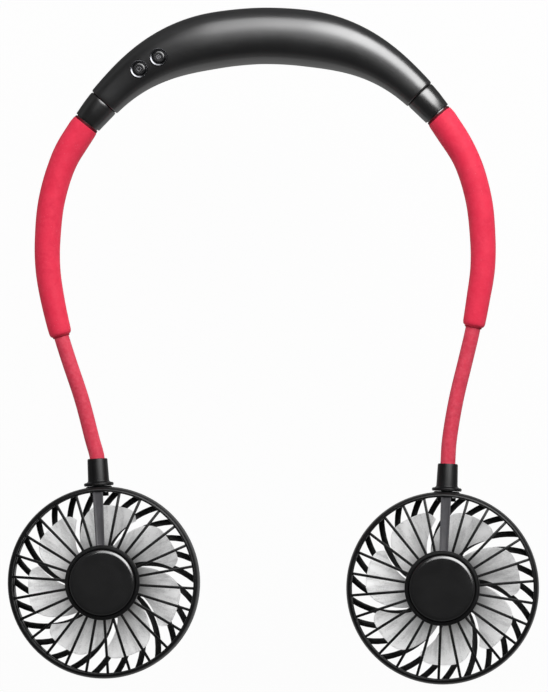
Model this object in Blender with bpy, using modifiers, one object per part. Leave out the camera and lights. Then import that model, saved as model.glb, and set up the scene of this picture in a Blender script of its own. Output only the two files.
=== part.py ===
"""Hands-free neck fan: a rigid band with two bendable arms, each with a small fan at its end.

The fan lies flat on its back. +Z points away from the surface it lies on, +Y from the fans towards the band,
and +X to the right as it is seen from above. All sizes are in metres and all angles in degrees.
"""

import math

import bmesh
import bpy
from mathutils import Matrix, Vector

# Layout
GAP = 0.0003
MID_Z = 0.012
SIDES = {"left": -1, "right": 1}
HEAD_CENTRE = {"left": (-0.0723, -0.1012), "right": (0.0723, -0.1035)}
NECK_ANGLE = {"left": 93.3, "right": 87.6}

# Band: a tapering tube along an arc, split at MID_Z into a front and a back shell
BAND_ARC_CENTRE = (-0.0035, 0.0353)
BAND_ARC_RADIUS = 0.0972
BAND_TILT = -1.2
BAND_END = 43.8
BAND_HALF_WIDTH = 0.0120
BAND_END_HALF_WIDTH = 0.0071
BAND_TAPER = (11.0, 47.0)
BAND_SHOULDER = 0.00155
BAND_SHOULDER_ANGLES = (2.0, 52.0)
BAND_ROUNDNESS = 2.5
BAND_DEPTH_RATIO = 1.05
BAND_WALL = 0.0018
BAND_EDGE_ROUND = 0.0007
BAND_HALF_RINGS = 7
SCREW_ANGLES = (-38.0, -19.0, 19.0, 38.0)
SCREW_HEAD_RADIUS = 0.0018
SCREW_RADIUS = 0.0010
SCREW_HEAD_HEIGHT = 0.0012
SCREW_LENGTH = 0.0115
SCREW_SINK = 0.0008
SCREW_SLOT = (0.0022, 0.0005, 0.0010)
BOSS_RADIUS = 0.0030
BOSS_HEIGHTS = (0.001, 0.023)

# Collars between the band and the arms
COLLAR_END = 50.6
COLLAR_RADIUS = (0.0068, 0.0060)
COLLAR_EDGE_ROUND = 0.0004

# Controls
BUTTON_ANGLES = {"power": -31.7, "speed": -26.0}
BUTTON_OFFSET = -0.0003
BUTTON_RADIUS = 0.0027
BUTTON_STEM_RADIUS = 0.0012
BUTTON_RISE = 0.0004
BUTTON_SKIRT = 0.0016
BUTTON_TRAVEL = 0.0005
BEZEL_RADII = (0.0030, 0.0036)
BOARD_ANGLE = -28.85
BOARD_SIZE = (0.0205, 0.0108, 0.0012)
BOARD_Z = 0.0129
SWITCH_SIZE = (0.0052, 0.0052, 0.0025)
SWITCH_PLUNGER = (0.0012, 0.0010)
SOCKET_SIZE = (0.0075, 0.0056, 0.0025)
SOCKET_WALL = 0.0004
SOCKET_DEPTH = 0.0045
CELL_RADIUS = 0.0070
CELL_LENGTH = 0.050
CELL_INSET = 0.0016
CELL_EDGE = 0.0006
CELL_CONTACT_RADIUS = 0.0030
BATTERY_LEAD_RADIUS = 0.0007

# Arms: points that the middle of each arm passes through, from the band down to the fan
ARM_POINTS = {
    "left": (
        (-0.0897, 0.0796), (-0.0950, 0.0625), (-0.0968, 0.0454), (-0.0966, 0.0325), (-0.0946, 0.0197),
        (-0.0913, 0.0056), (-0.0877, -0.0060), (-0.0820, -0.0231), (-0.0775, -0.0402),
    ),
    "right": (
        (0.0824, 0.0796), (0.0877, 0.0625), (0.0895, 0.0454), (0.0894, 0.0325), (0.0875, 0.0197),
        (0.0852, 0.0068), (0.0822, -0.0060), (0.0781, -0.0231), (0.0752, -0.0402),
    ),
}
THICK_SLEEVE_LENGTH = 0.0955
THICK_SLEEVE_PROFILE = (
    (0.0, 0.0059), (0.012, 0.0062), (0.16, 0.0058), (0.5, 0.0056), (0.8, 0.0052), (0.955, 0.0049),
    (1.0, 0.0040),
)
THIN_SLEEVE_RADIUS = 0.0032
THIN_SLEEVE_TUCK = 0.010
THIN_SLEEVE_INTO_COLLAR = 0.003
GOOSENECK_RADIUS = 0.0020
GOOSENECK_WALL = 0.0008
RING_STEP = 0.0105
CABLE_RADIUS = 0.0008
TILT_ABOVE_COLLAR = 0.012

# Fan heads, measured from the head's middle; heights are above the surface that the fan lies on
HEAD_RADIUS = 0.0410
RIM_WALL = 0.0018
RIM_TOP = 0.0215
RIM_LIP = 0.0024
RIM_DRAFT = 0.0010
ROUND_STEPS = 34
HUB_STEPS = 22
HUB_RADIUS = 0.0160
HUB_CAP_RADIUS = 0.0141
HUB_CAP_TOP = 0.0260
HUB_RING_TOP = 0.0246
HUB_SEAT = 0.0236
HUB_FLOOR = 0.0012
OUTLET_HUB_HEIGHT = 0.0024
INTAKE_RIBS = 26
INTAKE_RIB_WIDTH = 0.0011
INTAKE_RIB_DEPTH = 0.0012
INTAKE_RIB_HEIGHTS = (0.0203, 0.0226)
SPOKE_WIDTHS = (0.0036, 0.0044)
SPOKE_DEPTH = 0.0022
SPOKE_HEIGHTS = (0.0202, 0.0226)
OUTLET_RIBS = 26
OUTLET_RIB_WIDTHS = (0.0016, 0.0023)
OUTLET_RIB_DEPTH = 0.0014
OUTLET_RIB_HEIGHT = 0.0009
OUTLET_RIB_SWEEP = 30.0
OUTLET_RIB_PHASE = 3.0
IMPELLER_HUB_RADIUS = 0.0135
IMPELLER_TIP_RADIUS = 0.0330
IMPELLER_BLADES = 7
CUP_HEIGHTS = (0.0034, 0.0122)
CUP_WALL = 0.0012
CUP_BOSS_RADIUS = 0.0030
BLADE_SPAN = 43.0
BLADE_SWEEP = 27.0
BLADE_HEIGHTS = (0.0045, 0.0125)
BLADE_THICKNESS = 0.0010
BLADE_ROOT = 0.0006
BLADE_CORNER = 0.0022
MOTOR_RADIUS = 0.0102
MOTOR_FLOOR = 0.0143
MOTOR_TOP = 0.0224
MOTOR_SCREW_OFFSET = 0.0065
MOTOR_SCREW_RADII = (0.0008, 0.0016)
MOTOR_SCREW_TIP = 0.0172
MOTOR_SCREW_HOLE_RADIUS = 0.0011
SHAFT_RADIUS = 0.0010
SHAFT_ENDS = (0.0046, 0.0182)
SHAFT_HOLE_TOP = 0.0190
LEAD_HEIGHT = 0.0192

# Neck of each fan, as distances from the head's middle
FLANGE_RADIUS = 0.00635
FLANGE_HEIGHT = 0.0013
NECK_COLLAR_TOP = 0.0530
NECK_COLLAR_RADII = (0.00465, 0.0043)
PIN_RADIUS = 0.0025
PIN_BORE = 0.0013
PIN_ENDS = (0.0369, 0.0459)
PIN_FLANGE = (0.0040, 0.0016)
PIN_NOTCH_ENDS = (0.0375, 0.0425)

COLOURS = {
    "black_shell": ((30, 30, 32), 0.32, 0.0),
    "black_grille": ((20, 20, 21), 0.42, 0.0),
    "black_cap": ((31, 31, 33), 0.28, 0.0),
    "red_sleeve": ((240, 58, 86), 0.55, 0.0),
    "pale_blade": ((226, 227, 230), 0.45, 0.0),
    "button_black": ((38, 38, 41), 0.35, 0.0),
    "bright_bezel": ((190, 192, 196), 0.25, 1.0),
    "steel": ((150, 152, 156), 0.35, 1.0),
    "board_green": ((22, 84, 52), 0.5, 0.0),
    "cell_wrap": ((46, 92, 168), 0.4, 0.0),
    "cable_black": ((24, 24, 24), 0.6, 0.0),
    "motor_plastic": ((232, 230, 220), 0.5, 0.0),
}


def clear_scene():
    for obj in list(bpy.data.objects):
        bpy.data.objects.remove(obj, do_unlink=True)
    for collection in list(bpy.data.collections):
        bpy.data.collections.remove(collection)


def new_collection(name):
    collection = bpy.data.collections.new(name)
    bpy.context.scene.collection.children.link(collection)
    return collection


def linear(channel):
    value = channel / 255
    return value / 12.92 if value <= 0.04045 else ((value + 0.055) / 1.055) ** 2.4


def make_material(name, finish):
    """Makes one material for each sub-part, so that each can be changed alone."""
    colour, roughness, metallic = COLOURS[finish]
    material = bpy.data.materials.new(name)
    material.use_nodes = True
    shader = material.node_tree.nodes["Principled BSDF"]
    shader.inputs["Base Color"].default_value = (*(linear(channel) for channel in colour), 1.0)
    shader.inputs["Roughness"].default_value = roughness
    shader.inputs["Metallic"].default_value = metallic
    material.diffuse_color = shader.inputs["Base Color"].default_value
    return material


def add_part(name, data, finish, parent=None, location=(0, 0, 0), rotation=(0, 0, 0)):
    obj = bpy.data.objects.new(name, data)
    parts.objects.link(obj)
    obj.parent = parent
    obj.location = location
    obj.rotation_euler = [math.radians(angle) for angle in rotation]
    if finish:
        data.materials.append(make_material(name, finish))
    return obj


def make_cutter(obj):
    """Turns an object into an operand of a Boolean modifier."""
    parts.objects.unlink(obj)
    cutters.objects.link(obj)
    obj.hide_render = True
    obj.display_type = "WIRE"
    return obj


def boolean(target, operand, operation):
    modifier = target.modifiers.new(f"{operation.lower()}_{operand.name}", "BOOLEAN")
    modifier.operation = operation
    modifier.object = operand


def shade_round(obj, angle=35):
    obj.data.shade_smooth()
    obj.data.set_sharp_from_angle(angle=math.radians(angle))


def turned(name, profile, finish, steps=16, **placing):
    """Turns a profile of (radius, height) about Z. A profile that leaves the axis is a closed ring."""
    mesh = bpy.data.meshes.new(name)
    points = [(radius, 0, height) for radius, height in profile]
    edges = [(i, i + 1) for i in range(len(points) - 1)]
    if profile[0][0] > 0:
        edges.append((len(points) - 1, 0))
    mesh.from_pydata(points, edges, [])
    obj = add_part(name, mesh, finish, **placing)
    screw = obj.modifiers.new("turn", "SCREW")
    screw.steps = steps
    screw.render_steps = steps
    screw.use_merge_vertices = True
    screw.merge_threshold = 0.00001
    screw.use_smooth_shade = True
    return obj


def box(name, size, finish, **placing):
    mesh = bpy.data.meshes.new(name)
    shape = bmesh.new()
    bmesh.ops.create_cube(shape, size=1.0)
    bmesh.ops.scale(shape, vec=size, verts=shape.verts)
    shape.to_mesh(mesh)
    shape.free()
    return add_part(name, mesh, finish, **placing)


def curve_data(name, points, radii=None, closed=False):
    curve = bpy.data.curves.new(name, "CURVE")
    curve.dimensions = "3D"
    curve.use_fill_caps = True
    spline = curve.splines.new("POLY")
    spline.points.add(len(points) - 1)
    spline.use_cyclic_u = closed
    for i, place in enumerate(points):
        spline.points[i].co = (*place, 1)
        spline.points[i].radius = radii[i] if radii else 1.0
    return curve


def tube(name, points, radius, finish, radii=None, sides=12, origin=(0, 0, 0), parent=None):
    """Makes a round tube along points, with its object's origin at the given point."""
    start = Vector(origin)
    curve = curve_data(name, [Vector(place) - start for place in points], radii)
    curve.bevel_depth = radius
    curve.bevel_resolution = (sides - 4) // 2
    return add_part(name, curve, finish, parent=parent, location=origin)


def flat_outlines(name, outlines, thickness, finish=None, **placing):
    """Makes a plate of one or more closed outlines, centred on its object's XY plane."""
    curve = bpy.data.curves.new(name, "CURVE")
    curve.dimensions = "2D"
    curve.fill_mode = "BOTH"
    curve.extrude = thickness / 2
    for outline in outlines:
        spline = curve.splines.new("POLY")
        spline.points.add(len(outline) - 1)
        spline.use_cyclic_u = True
        for i, (x, y) in enumerate(outline):
            spline.points[i].co = (x, y, 0, 1)
    return add_part(name, curve, finish, **placing)


def as_mesh(obj):
    """Replaces a curve object by a mesh object of the same name, so that it can be cut and joined."""
    bpy.context.view_layer.update()
    evaluated = obj.evaluated_get(bpy.context.evaluated_depsgraph_get())
    mesh = bpy.data.meshes.new_from_object(evaluated)
    shape = bmesh.new()
    shape.from_mesh(mesh)
    bmesh.ops.remove_doubles(shape, verts=shape.verts, dist=0.000002)
    bmesh.ops.recalc_face_normals(shape, faces=shape.faces)
    shape.to_mesh(mesh)
    shape.free()
    name, parent, matrix = obj.name, obj.parent, obj.matrix_world.copy()
    bpy.data.objects.remove(obj)
    mesh.name = name
    solid = bpy.data.objects.new(name, mesh)
    parts.objects.link(solid)
    solid.parent = parent
    solid.matrix_world = matrix
    return solid


def circle(radius, along, z, turn=0):
    """Returns the point at an angle on a circle, seen from above."""
    angle = math.radians(along + turn)
    return (radius * math.cos(angle), radius * math.sin(angle), z)


def on_band(angle, out=0.0, z=MID_Z):
    """Returns a point of the band, at an angle from its middle that is positive to the right.

    The band is an arc that stands out a little at its two shoulders.
    """
    turn = math.radians(angle + BAND_TILT)
    first, last = BAND_SHOULDER_ANGLES
    share = min(max((abs(angle) - first) / (last - first), 0.0), 1.0)
    radius = BAND_ARC_RADIUS + BAND_SHOULDER * math.sin(math.pi * share) ** 2 + out
    x, y = BAND_ARC_CENTRE
    return Vector((x + radius * math.sin(turn), y + radius * math.cos(turn), z))


def band_half_width(angle):
    """Returns the band's half thickness at an angle: full in the middle, with a smooth taper to its ends."""
    share = (abs(angle) - BAND_TAPER[0]) / (BAND_TAPER[1] - BAND_TAPER[0])
    share = min(max(share, 0.0), 1.0)
    return BAND_HALF_WIDTH - (BAND_HALF_WIDTH - BAND_END_HALF_WIDTH) * share * share * (3 - 2 * share)


def rounded_section(steps):
    """Returns a unit section between a circle and a square, a little deeper than it is wide."""
    points = []
    for k in range(steps):
        turn = 2 * math.pi * k / steps
        across, deep = math.cos(turn), math.sin(turn)
        power = 2 / BAND_ROUNDNESS
        x = math.copysign(abs(across) ** power, across)
        y = math.copysign(abs(deep) ** power, deep) * BAND_DEPTH_RATIO
        points.append((x, y, 0))
    return points


def band_solid(name, inset, section_steps, finish=None):
    """Makes the whole band as one solid, this far inside its outer surface."""
    inset_angle = math.degrees(inset / BAND_ARC_RADIUS)
    edge_angle = math.degrees(BAND_EDGE_ROUND / BAND_ARC_RADIUS)
    last = BAND_END - inset_angle
    angles = [last * (k / BAND_HALF_RINGS - 1) for k in range(2 * BAND_HALF_RINGS + 1)]
    if not inset:
        angles = angles[:1] + [edge_angle - last] + angles[1:-1] + [last - edge_angle] + angles[-1:]
    radii = [band_half_width(angle) - inset for angle in angles]
    if not inset:
        radii[0] -= BAND_EDGE_ROUND
        radii[-1] -= BAND_EDGE_ROUND
    outline = curve_data(f"{name}_section", rounded_section(section_steps), closed=True)
    profile = bpy.data.objects.new(f"{name}_section", outline)
    profile.data.dimensions = "2D"
    profile.data.use_fill_caps = False
    cutters.objects.link(profile)
    profile.hide_render = True
    curve = curve_data(name, [on_band(angle) for angle in angles], radii)
    curve.twist_mode = "Z_UP"
    curve.bevel_mode = "OBJECT"
    curve.bevel_object = profile
    return as_mesh(add_part(name, curve, finish))


def smooth_path(points, steps=12):
    """Returns a dense line on a smooth curve through the points, sloped at each as its neighbours are."""
    ends = [points[0], *points, points[-1]]
    slopes = [(after - before).normalized() for before, after in zip(ends, ends[2:])]
    line = []
    for start, end, leave, arrive in zip(points, points[1:], slopes, slopes[1:]):
        span = (end - start).length
        for k in range(steps):
            t = k / steps
            rise = t * t * (3 - 2 * t)
            bend = leave * (t * (1 - t) ** 2) - arrive * (t * t * (1 - t))
            line.append(start.lerp(end, rise) + bend * span)
    line.append(points[-1])
    return line


def path_length(line):
    return sum((b - a).length for a, b in zip(line, line[1:]))


def path_point(line, distance):
    """Returns the point this far along a line, which runs on straight past its ends."""
    if distance < 0:
        return line[0] + (line[0] - line[1]).normalized() * -distance
    for a, b in zip(line, line[1:]):
        step = (b - a).length
        if distance <= step:
            return a + (b - a) * (distance / step)
        distance -= step
    return line[-1] + (line[-1] - line[-2]).normalized() * distance


def arm_rings(line, start, end):
    """Returns the middles of a tube's rings. They stand at the same places on every tube of an arm."""
    first, last = math.floor(start / RING_STEP) + 1, math.ceil(end / RING_STEP) - 1
    places = [start, *(k * RING_STEP for k in range(first, last + 1)), end]
    return [path_point(line, place) for place in places]


def neck_direction(side):
    return Vector(circle(1.0, NECK_ANGLE[side], 0))


def neck_point(side, distance):
    """Returns the point of a fan's neck axis this far from the head's middle."""
    return Vector((*HEAD_CENTRE[side], MID_Z)) + neck_direction(side) * distance


def arm_line(side):
    """Returns the middle of one arm, from the band's collar into the neck collar, and its length outside."""
    start = on_band(SIDES[side] * COLLAR_END)
    middle = [Vector((x, y, MID_Z)) for x, y in ARM_POINTS[side]]
    lead_in = [on_band(SIDES[side] * (COLLAR_END - 2)), start, on_band(SIDES[side] * (COLLAR_END + 2))]
    lead_out = [neck_point(side, NECK_COLLAR_TOP), neck_point(side, HEAD_RADIUS)]
    line = smooth_path([*lead_in, *middle, *lead_out])
    first = min(range(len(line)), key=lambda i: (line[i] - start).length)
    last = min(range(len(line)), key=lambda i: (line[i] - lead_out[0]).length)
    outside = line[first : last + 1]
    return [*outside, lead_out[1]], path_length(outside)


def profile_value(profile, share):
    for (a, low), (b, high) in zip(profile, profile[1:]):
        if share <= b:
            return low + (high - low) * (share - a) / (b - a)
    return profile[-1][1]


def make_band():
    """Makes the two shells: the hollow band, cut at its middle height, with bosses, holes and openings."""
    half_spaces = {
        "front_shell": (MID_Z + GAP / 2, 0.060),
        "back_shell": (0.0, MID_Z - GAP / 2),
    }
    hollow = make_cutter(band_solid("band_hollow", BAND_WALL, 12))
    bosses = make_screw_cylinders("screw_bosses", BOSS_RADIUS, lambda angle: BOSS_HEIGHTS)
    boss_limit = make_cutter(band_solid("boss_limit", BAND_WALL / 2, 12))
    boolean(bosses, boss_limit, "INTERSECT")
    shanks = make_screw_cylinders(
        "screw_holes", SCREW_RADIUS + GAP, lambda angle: (-0.001, screw_heights(angle)[2] + GAP)
    )
    heads = make_screw_cylinders(
        "screw_recesses", SCREW_HEAD_RADIUS + GAP, lambda angle: (-0.002, screw_heights(angle)[1] + GAP), 12
    )
    openings = [shanks, heads, *make_gooseneck_holes(), *make_button_holes(), make_socket_hole()]
    for name, (low, high) in half_spaces.items():
        shell = band_solid(name, 0.0, 20, "black_shell")
        half = box(f"{name}_half", (0.3, 0.3, high - low), None, location=(0, 0, (low + high) / 2))
        half.location.y = BAND_ARC_CENTRE[1]
        boolean(shell, hollow, "DIFFERENCE")
        boolean(shell, bosses, "UNION")
        boolean(shell, make_cutter(half), "INTERSECT")
        for cutter in openings:
            boolean(shell, cutter, "DIFFERENCE")
        shade_round(shell)


def make_screw_cylinders(name, radius, span, steps=10):
    """Makes one upright cylinder at each shell screw, over the heights that span gives, as one cutter."""
    mesh = bpy.data.meshes.new(name)
    shape = bmesh.new()
    for angle in SCREW_ANGLES:
        low, high = span(angle)
        place = Matrix.Translation(on_band(angle, z=(low + high) / 2))
        depth = high - low
        bmesh.ops.create_cone(
            shape, cap_ends=True, segments=steps, radius1=radius, radius2=radius, depth=depth, matrix=place
        )
    shape.to_mesh(mesh)
    shape.free()
    return make_cutter(add_part(name, mesh, None))


def screw_heights(angle):
    """Returns the heights of a shell screw's outer face, the underside of its head, and its tip."""
    face = MID_Z - band_half_width(angle) * BAND_DEPTH_RATIO + SCREW_SINK
    return face, face + SCREW_HEAD_HEIGHT, face + SCREW_HEAD_HEIGHT + SCREW_LENGTH


def make_gooseneck_holes():
    holes = []
    for side, sign in SIDES.items():
        route = [on_band(sign * angle) for angle in (BAND_END - 3, BAND_END - 1, BAND_END + 1)]
        hole = as_mesh(tube(f"{side}_gooseneck_hole", route, GOOSENECK_RADIUS + GAP, None))
        holes.append(make_cutter(hole))
    return holes


def make_button_holes():
    holes = []
    for name, angle in BUTTON_ANGLES.items():
        place = on_band(angle, BUTTON_OFFSET, 0.0)
        radius = BEZEL_RADII[1] + GAP
        profile = ((0, 0.03), (radius, 0.03), (radius, MID_Z + 0.004), (0, MID_Z + 0.004))
        holes.append(make_cutter(turned(f"{name}_button_hole", profile, None, location=place)))
    return holes


def make_socket_hole():
    size = [SOCKET_SIZE[0] + 2 * GAP, 0.008, SOCKET_SIZE[2] + 2 * GAP]
    place = on_band(BOARD_ANGLE, -band_half_width(BOARD_ANGLE), BOARD_Z - GAP - SOCKET_SIZE[2] / 2)
    turn = (0, 0, -(BOARD_ANGLE + BAND_TILT))
    return make_cutter(box("socket_hole", size, None, location=place, rotation=turn))


def make_shell_screws():
    for number, angle in enumerate(SCREW_ANGLES, 1):
        head, neck, tip = screw_heights(angle)
        profile = (
            (0, tip), (SCREW_RADIUS, tip - 0.0008), (SCREW_RADIUS, neck), (SCREW_HEAD_RADIUS, neck),
            (SCREW_HEAD_RADIUS, head + 0.0003), (SCREW_HEAD_RADIUS - 0.0003, head), (0, head),
        )
        screw = turned(f"shell_screw_{number}", profile, "steel", steps=12, location=on_band(angle, z=0.0))
        slot_place = on_band(angle, z=head)
        for turn in (0, 90):
            slot = box(f"shell_screw_{number}_slot_{turn}", SCREW_SLOT, None, location=slot_place)
            slot.rotation_euler.z = math.radians(turn)
            boolean(screw, make_cutter(slot), "DIFFERENCE")


def make_arm_collars():
    for side, sign in SIDES.items():
        gap_angle = math.degrees(GAP / BAND_ARC_RADIUS)
        first, last = BAND_END + gap_angle, COLLAR_END
        shares = (0.0, 0.06, 0.35, 0.65, 0.94, 1.0)
        points = [on_band(sign * (first + (last - first) * share)) for share in shares]
        radii = [COLLAR_RADIUS[0] + (COLLAR_RADIUS[1] - COLLAR_RADIUS[0]) * share for share in shares]
        radii[0] -= COLLAR_EDGE_ROUND
        radii[-1] -= COLLAR_EDGE_ROUND
        collar = as_mesh(tube(f"{side}_arm_collar", points, 1.0, "black_shell", radii=radii, sides=16))
        route = [on_band(sign * (first + (last - first) * share)) for share in (-0.1, 0.35, 0.65, 1.1)]
        bore = as_mesh(tube(f"{side}_arm_collar_bore", route, GOOSENECK_RADIUS + GAP, None))
        boolean(collar, make_cutter(bore), "DIFFERENCE")
        shade_round(collar)


def make_controls():
    board_turn = -(BOARD_ANGLE + BAND_TILT)
    board_place = on_band(BOARD_ANGLE, z=BOARD_Z + BOARD_SIZE[2] / 2)
    box("control_board", BOARD_SIZE, "board_green", location=board_place, rotation=(0, 0, board_turn))
    make_socket(board_turn)
    for name, angle in BUTTON_ANGLES.items():
        place = on_band(angle, BUTTON_OFFSET, 0.0)
        make_switch(name, place, board_turn)
        make_button(name, place, MID_Z + band_half_width(angle) * BAND_DEPTH_RATIO)


def make_socket(turn):
    """Makes the charging socket: a metal shell that opens on the band's inner edge."""
    edge = -band_half_width(BOARD_ANGLE) + GAP + SOCKET_SIZE[1] / 2
    place = on_band(BOARD_ANGLE, edge, BOARD_Z - GAP - SOCKET_SIZE[2] / 2)
    socket = box("charging_socket", SOCKET_SIZE, "steel", location=place, rotation=(0, 0, turn))
    mouth_size = (SOCKET_SIZE[0] - 2 * SOCKET_WALL, SOCKET_DEPTH, SOCKET_SIZE[2] - 2 * SOCKET_WALL)
    mouth_place = on_band(BOARD_ANGLE, edge - SOCKET_SIZE[1] / 2, place.z)
    mouth = box("socket_mouth", mouth_size, None, location=mouth_place, rotation=(0, 0, turn))
    boolean(socket, make_cutter(mouth), "DIFFERENCE")


def make_switch(name, place, turn):
    """Makes a tact switch: a square body with a round plunger, joined."""
    base = BOARD_Z + BOARD_SIZE[2] + GAP
    centre = (place.x, place.y, base + SWITCH_SIZE[2] / 2)
    body = box(f"{name}_switch", SWITCH_SIZE, "steel", location=centre, rotation=(0, 0, turn))
    radius, rise = SWITCH_PLUNGER
    top = base + SWITCH_SIZE[2] + rise
    profile = ((0, top), (radius, top), (radius, base + SWITCH_SIZE[2] / 2), (0, base + SWITCH_SIZE[2] / 2))
    plunger = turned(f"{name}_switch_plunger", profile, None, steps=12, location=(place.x, place.y, 0))
    boolean(body, make_cutter(plunger), "UNION")


def make_button(name, place, surface):
    """Makes one button, with a stem down to its switch, and the bezel ring round it."""
    switch_top = BOARD_Z + BOARD_SIZE[2] + GAP + SWITCH_SIZE[2] + SWITCH_PLUNGER[1]
    stem = switch_top + BUTTON_TRAVEL + 0.0001
    top = surface + BUTTON_RISE
    skirt = surface - BUTTON_SKIRT
    button_profile = (
        (0, top), (BUTTON_RADIUS - 0.0008, top - 0.0001), (BUTTON_RADIUS, top - 0.0005),
        (BUTTON_RADIUS, skirt), (BUTTON_STEM_RADIUS, skirt), (BUTTON_STEM_RADIUS, stem), (0, stem),
    )
    turned(f"{name}_button", button_profile, "button_black", location=(place.x, place.y, 0))
    inner, outer = BEZEL_RADII
    bezel_profile = (
        (inner + 0.0001, surface + 0.0003), (outer - 0.0001, surface + 0.0002), (outer, surface),
        (outer, skirt), (inner, skirt), (inner, surface + 0.0002),
    )
    turned(f"{name}_button_bezel", bezel_profile, "bright_bezel", location=(place.x, place.y, 0))


def make_cell():
    """Makes the lithium cell, lying across the middle of the band, and its leads to the board."""
    half, radius = CELL_LENGTH / 2, CELL_RADIUS
    profile = (
        (0, half + CELL_EDGE), (CELL_CONTACT_RADIUS, half + CELL_EDGE), (CELL_CONTACT_RADIUS, half),
        (radius - CELL_EDGE, half), (radius, half - CELL_EDGE), (radius, CELL_EDGE - half),
        (radius - CELL_EDGE, -half), (0, -half),
    )
    place = on_band(0, -CELL_INSET)
    turned("lithium_cell", profile, "cell_wrap", steps=16, location=place, rotation=(0, 90, -BAND_TILT))
    route = (
        (-15.9, 0.0015, 0.0130), (-17.0, 0.0040, 0.0130), (-19.0, 0.0050, 0.0132), (-21.0, 0.0042, 0.0134),
        (-22.4, 0.0030, 0.0135),
    )
    points = [on_band(angle, out, z) for angle, out, z in route]
    tube("battery_leads", points, BATTERY_LEAD_RADIUS, "cable_black", sides=6)


def make_arm(side):
    """Makes one arm. Each piece's origin is on the joint at which the arm bends."""
    line, length = arm_line(side)
    shoulder, elbow = line[0], path_point(line, THICK_SLEEVE_LENGTH)
    make_thick_sleeve(side, line, shoulder)
    collar_end = length + THIN_SLEEVE_INTO_COLLAR
    tuck = THICK_SLEEVE_LENGTH - THIN_SLEEVE_TUCK
    thin_route = [*arm_rings(line, tuck, length), path_point(line, collar_end)]
    thin = tube(f"{side}_thin_sleeve", thin_route, THIN_SLEEVE_RADIUS, "red_sleeve", sides=10, origin=elbow)
    thin = as_mesh(thin)
    bore_route = [*arm_rings(line, tuck - 0.002, length), path_point(line, collar_end + 0.002)]
    bore = as_mesh(tube(f"{side}_thin_sleeve_bore", bore_route, GOOSENECK_RADIUS + GAP, None, sides=8))
    boolean(thin, make_cutter(bore), "DIFFERENCE")
    shade_round(thin)
    make_gooseneck(side, line, length, shoulder)
    tilt = path_point(line, length - TILT_ABOVE_COLLAR)
    make_neck_collar(side, tilt)
    for name, place in {"shoulder": shoulder, "elbow": elbow, "tilt": tilt}.items():
        print(side, name, " ".join(f"{value:.6f}" for value in place))


def make_thick_sleeve(side, line, origin):
    profile = THICK_SLEEVE_PROFILE
    shares = sorted({k / 10 for k in range(10)} | {share for share, _ in profile})
    start, run = GAP, THICK_SLEEVE_LENGTH - GAP
    points = [path_point(line, start + run * share) for share in shares]
    radii = [profile_value(profile, share) for share in shares]
    sleeve = tube(f"{side}_thick_sleeve", points, 1.0, "red_sleeve", radii=radii, sides=14, origin=origin)
    sleeve = as_mesh(sleeve)
    bore_route = arm_rings(line, -0.002, THICK_SLEEVE_LENGTH + 0.002)
    bore = as_mesh(tube(f"{side}_thick_sleeve_bore", bore_route, THIN_SLEEVE_RADIUS + GAP, None, sides=10))
    boolean(sleeve, make_cutter(bore), "DIFFERENCE")
    shade_round(sleeve)


def make_gooseneck(side, line, length, origin):
    """Makes the hollow gooseneck and the cable in it, from inside the band to the neck collar."""
    sign = SIDES[side]
    band_route = [on_band(sign * angle) for angle in (41.8, 44.0, 46.2, 48.4)]
    pin_top = length + NECK_COLLAR_TOP - PIN_ENDS[1]
    route = [*band_route, *arm_rings(line, 0.0, length), path_point(line, pin_top - 2 * GAP)]
    gooseneck = as_mesh(tube(f"{side}_gooseneck", route, GOOSENECK_RADIUS, "steel", sides=8, origin=origin))
    bore_route = [on_band(sign * 41.0)] + route[1:-1] + [path_point(line, pin_top + 0.002)]
    bore_radius = GOOSENECK_RADIUS - GOOSENECK_WALL
    bore = as_mesh(tube(f"{side}_gooseneck_bore", bore_route, bore_radius, None, sides=6))
    boolean(gooseneck, make_cutter(bore), "DIFFERENCE")
    shade_round(gooseneck)
    cable_route = cable_lead(side) + route[1:]
    tube(f"{side}_arm_cable", cable_route, CABLE_RADIUS, "cable_black", sides=6, origin=origin)


def cable_lead(side):
    """Returns a cable's route inside the band, from the board to where it enters the gooseneck."""
    if side == "left":
        route = (
            (-35.6, -0.0040, 0.0110), (-38.0, -0.0046, 0.0115), (-39.5, -0.0040, 0.0118),
            (-40.4, -0.0020, 0.0120), (-41.3, -0.0003, 0.0120),
        )
    else:
        route = (
            (-23.6, -0.0020, 0.0112), (-21.6, -0.0048, 0.0085), (-19.0, -0.0052, 0.0062),
            (-15.5, -0.0030, 0.0040), (-8.0, -0.0016, 0.0036), (0.0, -0.0016, 0.0036),
            (8.0, -0.0016, 0.0036), (15.5, -0.0030, 0.0040), (19.0, -0.0052, 0.0065),
            (24.0, -0.0046, 0.0090), (31.0, -0.0044, 0.0110), (38.0, -0.0046, 0.0118),
            (39.5, -0.0040, 0.0118), (40.4, -0.0020, 0.0120), (41.3, -0.0003, 0.0120),
        )
    return [on_band(angle, out, z) for angle, out, z in route]


def neck_aligned_empty(name, side, place):
    """Makes an empty whose local +Y runs along a fan's neck, away from the head."""
    empty = bpy.data.objects.new(name, None)
    parts.objects.link(empty)
    empty.location = place
    empty.rotation_euler.z = math.radians(NECK_ANGLE[side] - 90)
    return empty


def make_head(side):
    """Makes one fan head under an empty at its middle, where its swivel and spin axes cross."""
    head = neck_aligned_empty(f"{side}_head_axes", side, (*HEAD_CENTRE[side], 0))
    pin_notch = make_pin_notch(side, head)
    make_intake_grille(side, head, pin_notch)
    make_outlet_grille(side, head, pin_notch)
    make_motor(side, head)
    make_impeller(side, head)
    make_swivel_pin(side, head)


def along_neck(name, profile, finish, parent, location=(0, 0, MID_Z)):
    """Turns a profile of (radius, distance from the head's middle) about the neck's axis."""
    return turned(name, profile, finish, parent=parent, location=location, rotation=(-90, 0, 0))


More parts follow.
